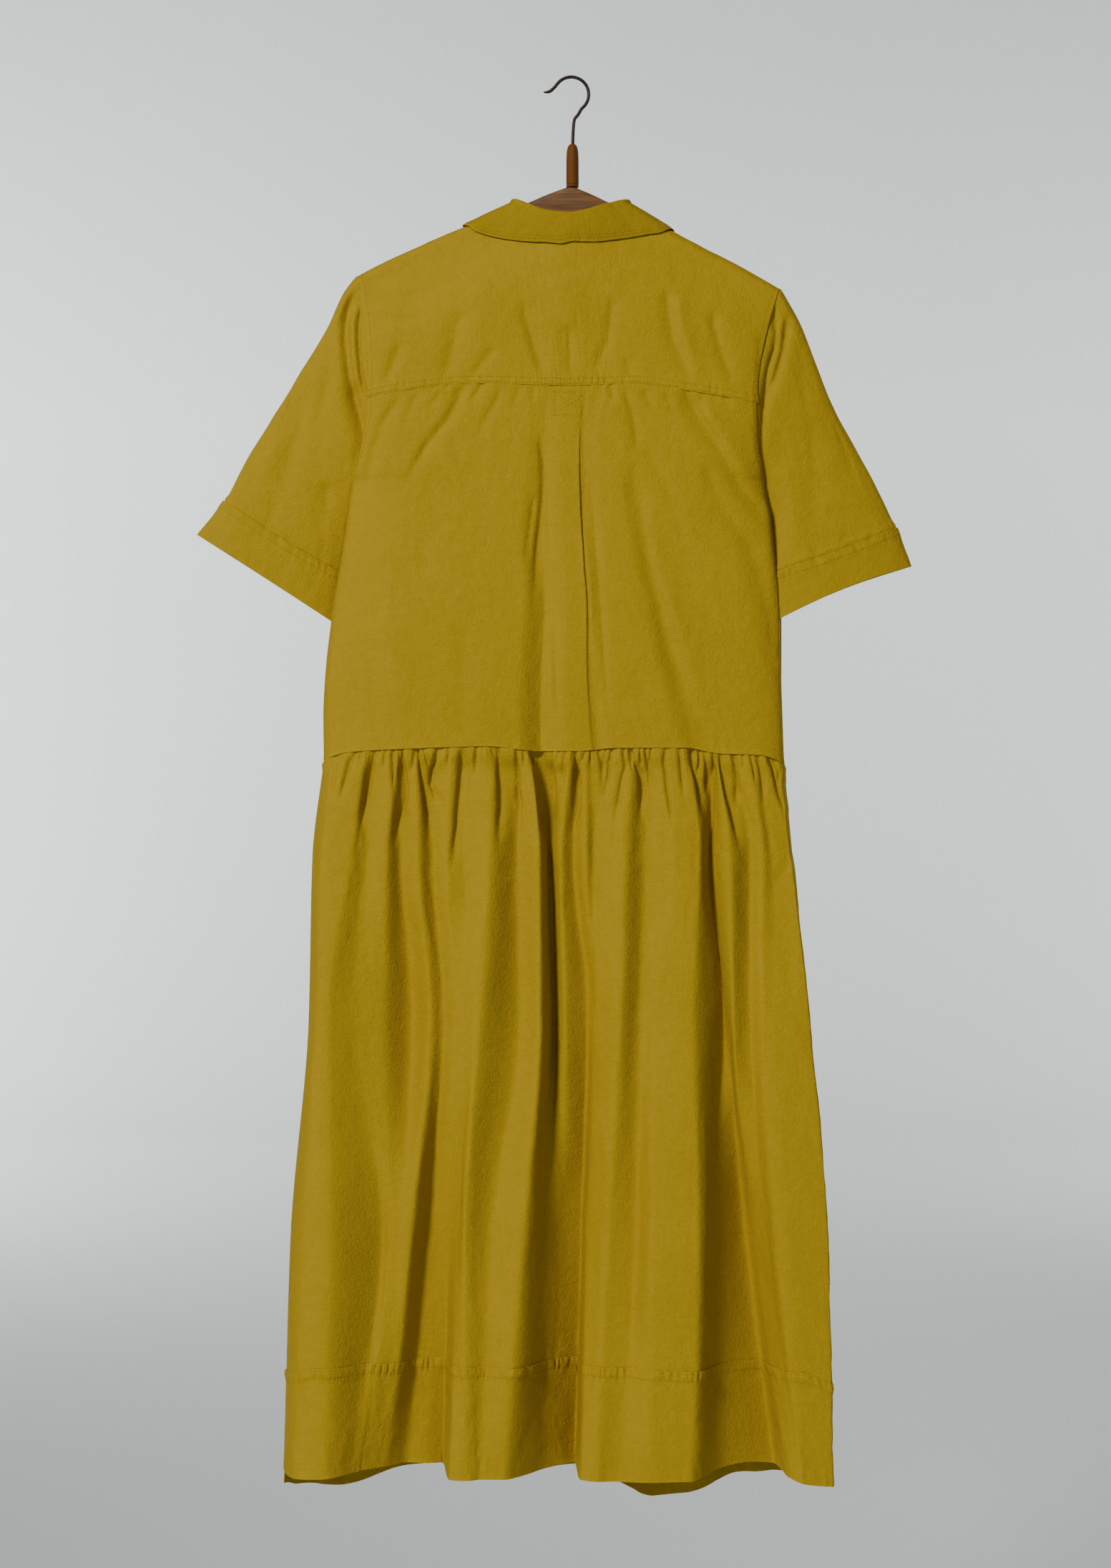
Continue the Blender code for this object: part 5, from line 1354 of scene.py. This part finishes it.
def length(name, description, default):
    return amount(name, description, default, subtype="DISTANCE", unit="LENGTH", precision=5)


def power(name, description, default):
    return amount(name, description, default, subtype="POWER", unit="POWER")


def colour(name, description, default):
    return FloatVectorProperty(name=name, description=description, default=default, min=0, max=1,
                               subtype="COLOR")


class DressSettings(PropertyGroup):
    """Sizes and colours of the dress, its hanger and the stage."""

    wall_single: length("Cloth", "Thickness of one layer of the cotton", 0.0005)
    wall_double: length("Doubled cloth", "Thickness where the cotton is folded double", 0.0008)
    creasing: length("Creasing", "Height of the creases that washing leaves in the cotton", 0.0011)
    pucker: length("Pucker", "Height of the ridges across a stitched seam", 0.0006)
    gather: amount("Gathers", "Depth of the gathers, against the table's", 1)
    cotton: colour("Cotton", "Colour of the cotton", (0.41, 0.268, 0.0155))
    threads: amount("Threads", "Threads of the weave in a metre, over 2 pi", 340, least=1)
    crinkle: amount("Crinkle", "Strength of the finest creases", 0.42, max=1, subtype="FACTOR")
    thread: colour("Thread", "Colour of the sewing thread", (0.36, 0.225, 0.011))
    stitch: length("Stitch", "Length of a stitch on the face", 0.0026)
    stitch_gap: length("Stitch gap", "Gap between two stitches", 0.0009)
    thread_radius: length("Thread radius", "Half the thickness of the sewing thread", 0.00024)
    button_pits: length("Button holes", "Depth of the four holes in a button", 0.0012)
    wood: colour("Walnut", "Light colour of the hanger's wood", (0.25, 0.117, 0.031))
    wood_dark: colour("Walnut grain", "Dark colour of the hanger's grain", (0.085, 0.036, 0.016))
    stem: colour("Stem", "Colour of the turned stem", (0.14, 0.048, 0.008))
    wall: colour("Wall", "Colour of the floor and the backdrop", (0.62, 0.65, 0.645))
    key: power("Key light", "Power of the main light", 550)
    fill: power("Fill light", "Power of the light from the other side", 6)
    rear: power("Rear light", "Power of the light on the dress's front", 60)
    backdrop: power("Backdrop light", "Power of each light on the backdrop", 500)
    sky: amount("Room light", "Strength of the pale light from all round", 0.09)


# ---------------------------------------------------------------- grid lines


def spaced(*stretches):
    """Grid lines from 0 to 1 through stretches, each told as its end and how many lines it takes."""
    places, start = [np.zeros(1)], 0.0
    for end, count in stretches:
        places.append(np.linspace(start, end, count + 1)[1:])
        start = end
    return np.concatenate(places)


def even_columns(folds, count):
    """Grid lines over a table of folds, shared out between the cloth's length and its width as it hangs."""
    fine = np.linspace(0, 1, 3000)
    x = in_folds(folds, SKIRT_HEIGHTS, "x", np.full(fine.size, WAIST - 40), fine * folds[-1].cloth)
    run = np.concatenate([[0], np.cumsum(np.abs(np.diff(x)))])
    return np.interp(np.linspace(0, 1, count + 1), mix(fine, run / run[-1], HANG_SHARE), fine)


def cloth_for(kind, node, place, out, closed=False):
    """A sheet on the grid that its table gives."""
    across, down = GRIDS[kind]
    return Cloth(node, place, spaced(*across), spaced(*down), out, closed)


# ---------------------------------------------------------------- the garment's pieces


class DRESS_OT_back(Operator):
    """Make the back below the yoke, with its box pleat"""

    bl_idname = "dress.back"
    bl_label = "Back"

    def execute(self, context):
        cloth = cloth_for("back", "back_panel", back_panel, 1)
        top, foot = cloth.distance("top"), cloth.distance("foot")
        free = ease(cloth.from_sides() / 12) * mix(0.35, 1, ease(np.abs(cloth.u - PLEAT_MIDDLE) / PLEAT_SPAN))
        small = cloth.creases(11) + puckers("back top", 12, cloth.across, top - TUCK)
        small = small + puckers("bodice foot", 13, cloth.across, foot)
        cloth.lift(small * free + drawn(cloth.x, cloth.z, BACK_LINES) + FOOT_LIFT * near(foot, FOOT_REACH)
                   - 0.4 * near(top, 8))
        cloth.wear = 0.5 * near(foot, 2)
        (left, right), (high, low) = CROSSED_BOX
        corners = ((left, high), (right, high), (right, low), (left, low))
        rows = [cloth.across_face(corners[start], corners[end]) for start, end in
                ((0, 1), (1, 2), (2, 3), (3, 0), (0, 2), (1, 3))]
        rows += [cloth.row_beside(edge, SIDE_ROW, 0.02, 0.24) for edge in ("first", "last")]
        sew("back_cotton", cloth, rows=rows)
        return {"FINISHED"}


class DRESS_OT_yoke(Operator):
    """Make the yoke over the shoulders"""

    bl_idname = "dress.yoke"
    bl_label = "Yoke"

    def execute(self, context):
        cloth = cloth_for("yoke", "yoke", yoke, -1)
        foot = cloth.distance("top")
        creasing = cloth.creases(21, 0.8) * ease(cloth.from_sides() / 10)
        pull = puckers("yoke", 22, cloth.across, foot - 4) * ease(foot / 2)
        cloth.lift(creasing + pull + drawn(cloth.x, cloth.z, YOKE_LINES) * (cloth.y < 0)
                   + (YOKE_LIFT[0] + YOKE_LIFT[1] * near(cloth.x + 5, 24)) * near(foot, 9))
        cloth.wear = near(foot, WEAR_REACH)
        rows = cloth.rows_beside("top", "yoke")
        rows += [cloth.row_beside(edge, SIDE_ROW, 0.02, 0.98) for edge in ("first", "last")]
        sew("yoke_cotton", cloth, keep=outside_neck, rows=rows)
        return {"FINISHED"}


class DRESS_OT_fronts(Operator):
    """Make the two fronts under the buttoned strip"""

    bl_idname = "dress.fronts"
    bl_label = "Fronts"

    def execute(self, context):
        for side, out, seed in (("left", -1, 31), ("right", 1, 36)):
            cloth = cloth_for("front", "front_" + side, front_panel(side), out)
            foot = cloth.distance("foot")
            small = cloth.creases(seed) + puckers("front top", seed + 1, cloth.across, cloth.distance("top"))
            small = small + puckers("bodice foot", seed + 2, cloth.across, foot)
            cloth.lift(small * ease(cloth.from_sides() / 14) + drawn(cloth.x, cloth.z, FRONT_LINES)
                       + FOOT_LIFT * near(foot, FOOT_REACH))
            sew("front_%s_cotton" % side, cloth, rows=[cloth.row_beside("first", SIDE_ROW, 0, 0.45)])
        return {"FINISHED"}


class DRESS_OT_strip(Operator):
    """Make the strip that the buttons close, stitched along both edges"""

    bl_idname = "dress.strip"
    bl_label = "Buttoned strip"

    def execute(self, context):
        cloth = cloth_for("strip", "button_placket", placket, -1)
        cloth.lift(cloth.creases(41, 0.5) + puckers("strip", 42, cloth.down, cloth.from_sides()))
        sew("strip_cotton", cloth, rows=[cloth.row_beside(edge, STRIP_ROW) for edge in ("first", "last")])
        return {"FINISHED"}


class DRESS_OT_collar(Operator):
    """Make the collar's leaf and the stand that carries it"""

    bl_idname = "dress.collar"
    bl_label = "Collar"

    def execute(self, context):
        leaf = cloth_for("collar", "collar", collar, 1)
        foot = leaf.distance("foot")
        creasing = leaf.creases(51, 0.5) * (leaf.v > COLLAR_FOLD_ROW)
        pull = puckers("collar", 52, leaf.across, foot - 5)
        leaf.lift(creasing + pull + drawn(leaf.x, leaf.z, COLLAR_LINES) * (leaf.y < 0))
        # The leaf's cotton is painted darker all over as painted shade, and paler along its edge and along
        # the roll of its fold.
        leaf.wear = near(foot, 1.5) - 1.8 + 0.5 * near(leaf.v - COLLAR_FOLD_ROW / 2, 0.08)
        sew("collar_cotton", leaf, rows=leaf.rows_beside("foot", "collar", 0.01, 0.99))
        stand = cloth_for("stand", "collar_stand", collar_stand, 1)
        stand.lift(stand.creases(56, 0.3))
        sew("stand_cotton", stand)
        return {"FINISHED"}


def on_sleeve(cloth, side):
    """The creases drawn for a sleeve and its cuff, which are weaker on its front."""
    return drawn(cloth.x, cloth.z, SLEEVE_LINES[side]) * np.where(cloth.y < 0, 1, FAR_SIDE)


class DRESS_OT_sleeves(Operator):
    """Make the short sleeves, which lie flattened behind the armholes"""

    bl_idname = "dress.sleeves"
    bl_label = "Sleeves"

    def execute(self, context):
        for side, out, seed in (("left", 1, 61), ("right", -1, 66)):
            place = tube(side, -SLEEVE_TUCK, CUFF_START + SLEEVE_TUCK, tucked=TUCK)
            cloth = cloth_for("sleeve", "sleeve_" + side, place, out, closed=True)
            foot = cloth.distance("foot")
            head = cloth.spread(lambda a, d: puckers("sleeve head", seed + 3, a, d))
            pull = cloth.spread(lambda a, d: puckers("sleeve foot", seed + 4, a, foot))
            small = cloth.creases(seed) + head + pull + on_sleeve(cloth, side)
            cloth.lift((small + CUFF_PUFF * near(foot - 7, 2.5)) * ease(cloth.distance("top") / 8))
            sew("sleeve_%s_cotton" % side, cloth)
        return {"FINISHED"}


class DRESS_OT_cuffs(Operator):
    """Make the cuffs, doubled and stitched with two rows beside their top edge"""

    bl_idname = "dress.cuffs"
    bl_label = "Cuffs"

    def execute(self, context):
        for side, out, seed in (("left", 1, 71), ("right", -1, 76)):
            place = tube(side, CUFF_START, CUFF_END, grow=CUFF_PROUD)
            cloth = cloth_for("cuff", "cuff_" + side, place, out, closed=True)
            top = cloth.distance("top")
            pull = cloth.spread(lambda a, d: puckers("cuff", seed + 3, a, d - 4))
            cloth.lift(cloth.creases(seed, 0.8) + pull + on_sleeve(cloth, side))
            cloth.wear = near(top, WEAR_REACH)
            sew("cuff_%s_cotton" % side, cloth, rows=cloth.rows_beside("top", "cuff"))
        return {"FINISHED"}


def hanging_sheet(part, name, first, last, count, rows):
    """A panel of the skirt or its hem band, with the creases that run through both; also which way it
    faces and how far below the waist its points are."""
    face = -1 if name == "back" else 1
    folds = BACK_FOLDS if name == "back" else FRONT_FOLDS
    cloth = Cloth(part + name, hanging(folds, face, first, last), even_columns(folds, count), rows, -face)
    below = WAIST - mix(first[0], last[0], cloth.v)
    creasing = settings().creasing / MM * noisy_creases(cloth.across, below, 80 + face)
    lines = drawn(cloth.x, cloth.z, SKIRT_LINES) if face < 0 else 0
    cloth.lift(creasing * ease(cloth.from_sides() / 8) * mix(0.4, 1.5, ease(below / 90)) + lines)
    return cloth, face, below


class DRESS_OT_skirt(Operator):
    """Make the gathered skirt, behind and before"""

    bl_idname = "dress.skirt"
    bl_label = "Skirt"

    def execute(self, context):
        tuck = TUCK / (WAIST - BAND_TOP)
        rows = np.concatenate([[-tuck], spaced(*SKIRT_ROWS), [1 + tuck]])
        for name, waist, seam, count in (("back", WAIST_SEAM, BAND_SEAM_BACK, 480),
                                         ("front", WAIST_SEAM_FRONT, BAND_SEAM_FRONT, 230)):
            cloth, face, below = hanging_sheet("skirt_", name, (WAIST, waist), (BAND_TOP, seam), count, rows)
            x = cloth.x if face < 0 else TURN - cloth.x
            small = puckers("waist", 85 + face, cloth.across, below - 3)
            gathered = drawn(x, cloth.z, GATHERS) * settings().gather + small + SEAM_PUFF * near(below - 9, 8)
            held = mix(0.5, 1, ease(below / 5)) * (below >= 0)
            cloth.lift(gathered * held * ease(cloth.from_sides() / 5))
            sew("skirt_%s_cotton" % name, cloth)
        return {"FINISHED"}


class DRESS_OT_hem(Operator):
    """Make the deep hem bands, stitched on with two rows"""

    bl_idname = "dress.hem"
    bl_label = "Hem bands"

    def execute(self, context):
        rows = spaced(*HEM_ROWS)
        for name, seam, hem, count in (("back", BAND_SEAM_BACK, HEM_BACK, 440),
                                       ("front", BAND_SEAM_FRONT, HEM_FRONT, 220)):
            cloth, face, _ = hanging_sheet("hem_band_", name, (BAND_TOP, seam), (HEM, hem), count, rows)
            top, foot = cloth.distance("top"), cloth.distance("foot")
            pull = puckers("hem band", 91 + face, cloth.across, top - 4)
            edge_pull = puckers("hem", 95 + face, cloth.across, foot - 3)
            cloth.lift(pull + edge_pull + 0.1 * near(top, 12))
            cloth.wear = near(top, WEAR_REACH) + 0.7 * near(foot, WEAR_REACH)
            sew("hem_%s_cotton" % name, cloth, rows=cloth.rows_beside("top", "hem", 0.005, 0.995))
        return {"FINISHED"}


# ---------------------------------------------------------------- buttons and the hanger


def ringed(rings, count):
    """Four-sided faces between rings of points, one ring after another."""
    faces = []
    for ring in range(rings - 1):
        for step in range(count):
            a, b = ring * count + step, ring * count + (step + 1) % count
            faces.append((a, b, b + count, a + count))
    return faces


def closed_mesh(name, spots, faces, weld=False):
    """A mesh from points in millimetres, its faces turned outward and the four-sided ones smooth.

    weld joins the points that lie on one another.
    """
    mesh = bpy.data.meshes.new(name)
    mesh.from_pydata((spots * MM).tolist(), [], faces)
    shape = bmesh.new()
    shape.from_mesh(mesh)
    if weld:
        bmesh.ops.remove_doubles(shape, verts=shape.verts, dist=TINY)
    bmesh.ops.recalc_face_normals(shape, faces=shape.faces)
    for face in shape.faces:
        face.smooth = len(face.verts) == 4
    shape.to_mesh(mesh)
    shape.free()
    return mesh


def turns(count):
    """Angles once round a circle."""
    return np.linspace(0, 2 * pi, count + 1)[:-1]


def rim(share, width):
    """Share of its thickness that a rounded edge keeps: 1 up to its start and 0 at its end."""
    return np.sqrt(1 - np.clip((share - 1 + width) / width, 0, 1) ** 2)


def button_mesh(pit):
    """A dished disc with a rounded rim and four holes, its axis along z."""
    half, count = BUTTON_THICK / 2, 40
    rings = np.concatenate([np.linspace(0, BUTTON_DISH, 11)[1:], np.linspace(BUTTON_DISH, 1, 10)[1:]])
    share, angle = np.meshgrid(rings, turns(count), indexing="ij")
    x, y = share * BUTTON_RADIUS * np.cos(angle), share * BUTTON_RADIUS * np.sin(angle)
    top = half * (BUTTON_DISH + (1 - BUTTON_DISH) * ease((share - 0.55) / 0.22)) * rim(share, 0.14)
    for hole_x, hole_y in ((1, 1), (1, -1), (-1, 1), (-1, -1)):
        away = np.hypot(x - hole_x * HOLE_APART, y - hole_y * HOLE_APART)
        top = top - pit * np.exp(-(away / HOLE_RADIUS) ** 6)
    faces = [np.stack([x, y, z], axis=-1).reshape(-1, 3) for z in (top, -half * rim(share, 0.2))]
    quads = ringed(len(rings), count)
    under = [tuple(share.size + index for index in quad) for quad in quads]
    hubs = [(2 * share.size + side, side * share.size + step, side * share.size + (step + 1) % count)
            for side in (0, 1) for step in range(count)]
    spots = np.concatenate([*faces, [[0, 0, half * BUTTON_DISH], [0, 0, -half]]])
    return closed_mesh("button shape", spots, quads + under + hubs, weld=True)


class DRESS_OT_buttons(Operator):
    """Make the horn buttons, sewn on through four holes"""

    bl_idname = "dress.buttons"
    bl_label = "Buttons"

    def execute(self, context):
        heights = np.linspace(NECK_FRONT - BUTTON_FIRST, WAIST + BUTTON_LAST, BUTTONS)
        x = centre_front(heights)
        y = depth(x, heights, "front") + PLACKET_PROUD + BUTTON_GAP + BUTTON_THICK / 2
        centres = bpy.data.meshes.new("button centres")
        centres.from_pydata(np.stack([x, y, heights], axis=1) * MM, [], [])
        rule = Rule("buttons", {"Button": "Object"})
        shape = rule.node("GeometryNodeObjectInfo", None, {"Object": rule.given("Button")}, "Geometry")
        turn = rule.node("FunctionNodeEulerToRotation", None, {0: (-pi / 2, 0, 0)})
        rule.close(rule.given("Geometry"), shape, {"Rotation": turn}, "horn")
        button = bpy.data.objects.new("button shape", button_mesh(context.scene.dress.button_pits / MM))
        bpy.context.scene.collection.objects.link(button)
        nodes = ["button_%d" % number for number in range(1, BUTTONS + 1)]
        source = bpy.data.objects.new("centres", centres)
        rule.apply("buttons_horn", source, {"Button": button}, "horn", "button", *nodes)
        bpy.data.objects.remove(button)
        return {"FINISHED"}


def lofted(name, x, y, z, finish, slot, node):
    """A closed body through rings of points in millimetres, a ring to a row, with its ends filled."""
    rings = np.stack(np.broadcast_arrays(x, y, z), axis=-1)
    count, last = rings.shape[1], (len(rings) - 1) * rings.shape[1]
    ends = [tuple(range(count))[::-1], tuple(range(last, last + count))]
    mesh = closed_mesh(name, rings.reshape(-1, 3), ringed(len(rings), count) + ends)
    return add_piece(name, mesh, finish, slot, node)


class DRESS_OT_board(Operator):
    """Make the hanger's wooden arms, with their edges rounded"""

    bl_idname = "dress.board"
    bl_label = "Hanger"

    def execute(self, context):
        left, right = SHOULDER[0].x + BOARD_END, SHOULDER[-1].x - BOARD_END
        x = mix(left, right, (1 - np.cos(np.linspace(0, pi, 150))) / 2)
        top = shoulder(x) - BOARD_UNDER
        height = mix(BOARD_HEIGHT[0], BOARD_HEIGHT[1], ease(np.abs(x) / right))
        out = np.abs(x - (left + right) / 2) / (right - left) * 2
        swell = np.maximum(rim(out, BOARD_TIP), BOARD_BLUNT)
        wide, tall = (np.sign(wave) * np.abs(wave) ** power
                      for wave, power in zip((np.cos(turns(40)), np.sin(turns(40))), BOARD_SQUARE))
        y = BOARD_THICK / 2 * wide * swell[:, None]
        z = (top - height / 2)[:, None] + height[:, None] / 2 * tall * swell[:, None]
        lofted("hanger_arms", x[:, None], y, z, "walnut", "walnut", "hanger_board")
        return {"FINISHED"}


class DRESS_OT_stem(Operator):
    """Make the turned stem between the arms and the hook"""

    bl_idname = "dress.stem"
    bl_label = "Stem"

    def execute(self, context):
        profile = np.array([(radius, STEM_TOP + z) for radius, z in STEM_HEAD]
                           + [(radius, STEM_FOOT + z) for radius, z in STEM_BASE])
        run = np.arange(len(profile), dtype=float)
        steps = np.linspace(0, run[-1], 73)
        radius, z = (smooth_curve(run, profile[:, axis], steps)[:, None] for axis in (0, 1))
        x, y = HOOK_SHANK[-1].x + radius * np.cos(turns(48)), radius * np.sin(turns(48))
        lofted("stem_turned", x, y, z, "beech", "stem", "hanger_stem")
        return {"FINISHED"}


class DRESS_OT_hook(Operator):
    """Bend the hook's wire: a pointed tip, the bow and the shank down into the stem"""

    bl_idname = "dress.hook"
    bl_label = "Hook"

    def execute(self, context):
        bow_z = WIRE_RADIUS - HOOK_RADIUS
        bow = [Point(HOOK_RADIUS * cos(turn), bow_z + HOOK_RADIUS * sin(turn))
               for turn in np.radians(np.linspace(*HOOK_TURN, 40))]
        route = np.array([*HOOK_TIP, *bow, *HOOK_SHANK])
        run = np.concatenate([[0], np.cumsum(np.hypot(*np.diff(route, axis=0).T))])
        steps = np.linspace(0, run[-1], 160)
        x, z = (smooth_curve(run, route[:, axis], steps)[:, None] for axis in (0, 1))
        way_x, way_z = np.gradient(x, axis=0), np.gradient(z, axis=0)
        radius = (WIRE_RADIUS + WIRE_COAT) * np.sqrt(np.clip((steps[:, None] + 0.3) / HOOK_POINT, 0.02, 1))
        side, out = radius * np.cos(turns(20)) / np.hypot(way_x, way_z), radius * np.sin(turns(20))
        lofted("hook_wire", x - way_z * side, out, z + way_x * side, "black iron", "wire", "hanger_hook")
        return {"FINISHED"}


# ---------------------------------------------------------------- the stage


def area_light(lamp, power):
    light = bpy.data.lights.new(lamp.name, "AREA")
    light.shape, light.size, light.energy, light.color = "DISK", lamp.size, power, lamp.colour
    stand = bpy.data.objects.new(lamp.name, light)
    stand.location = lamp.place
    stand.rotation_euler = (Vector(lamp.target) - Vector(lamp.place)).to_track_quat("-Z", "Y").to_euler()
    bpy.context.scene.collection.objects.link(stand)


class DRESS_OT_stage(Operator):
    """Make the pale floor and backdrop in one sweep, the lights and the camera"""

    bl_idname = "dress.stage"
    bl_label = "Stage"

    def execute(self, context):
        scene, dress = context.scene, context.scene.dress
        turn = np.linspace(0, pi / 2, 33)
        y = [-STAGE_REACH, *(STAGE_BACK - STAGE_CURVE + STAGE_CURVE * np.sin(turn)), STAGE_BACK]
        z = [FLOOR, *(FLOOR + STAGE_CURVE * (1 - np.cos(turn))), STAGE_TOP]
        spots = [(x, across, up) for x in (-STAGE_REACH, STAGE_REACH) for across, up in zip(y, z)]
        count = len(y)
        sweep = bpy.data.meshes.new("floor_and_backdrop")
        sweep.from_pydata(spots, [], [(i, i + count, i + count + 1, i + 1) for i in range(count - 1)])
        sweep.shade_smooth()
        sweep.materials.append(finish_of("pale paint"))
        stage = bpy.data.objects.new("floor_and_backdrop", sweep)
        scene.collection.objects.link(stage)
        world = bpy.data.worlds.new("pale room")
        world.use_nodes = True
        sky = world.node_tree.nodes["Background"].inputs
        sky["Color"].default_value, sky["Strength"].default_value = SKY_COLOUR, dress.sky
        scene.world = world
        for lamp in LAMPS:
            area_light(lamp, getattr(dress, lamp.name) * lamp.share)
        lens = bpy.data.cameras.new("camera")
        lens.sensor_width, lens.lens = 36, CAMERA_LENS
        camera = bpy.data.objects.new("camera", lens)
        camera.location, camera.rotation_euler = CAMERA_PLACE, (pi / 2, 0, 0)
        scene.collection.objects.link(camera)
        scene.camera = camera
        return {"FINISHED"}


# ---------------------------------------------------------------- the add-on

MAKERS = (DRESS_OT_stage, DRESS_OT_back, DRESS_OT_yoke, DRESS_OT_fronts, DRESS_OT_strip, DRESS_OT_collar,
          DRESS_OT_sleeves, DRESS_OT_cuffs, DRESS_OT_skirt, DRESS_OT_hem, DRESS_OT_buttons, DRESS_OT_board,
          DRESS_OT_stem, DRESS_OT_hook)


class DRESS_PT_pieces(Panel):
    """Settings and pieces of the dress"""

    bl_idname = "DRESS_PT_pieces"
    bl_label = "Shirt dress"
    bl_space_type = "VIEW_3D"
    bl_region_type = "UI"
    bl_category = "Dress"

    def draw(self, context):
        for name in DressSettings.__annotations__:
            self.layout.prop(context.scene.dress, name)
        for maker in MAKERS:
            self.layout.operator(maker.bl_idname)


CLASSES = (DressSettings, *MAKERS, DRESS_PT_pieces)


def register():
    for made in CLASSES:
        bpy.utils.register_class(made)
    bpy.types.Scene.dress = PointerProperty(type=DressSettings)


def unregister():
    del bpy.types.Scene.dress
    for made in reversed(CLASSES):
        bpy.utils.unregister_class(made)


def main():
    """Make every piece in turn."""
    register()
    for maker in MAKERS:
        group, name = maker.bl_idname.split(".")
        getattr(getattr(bpy.ops, group), name)()


if __name__ == "__main__":
    main()
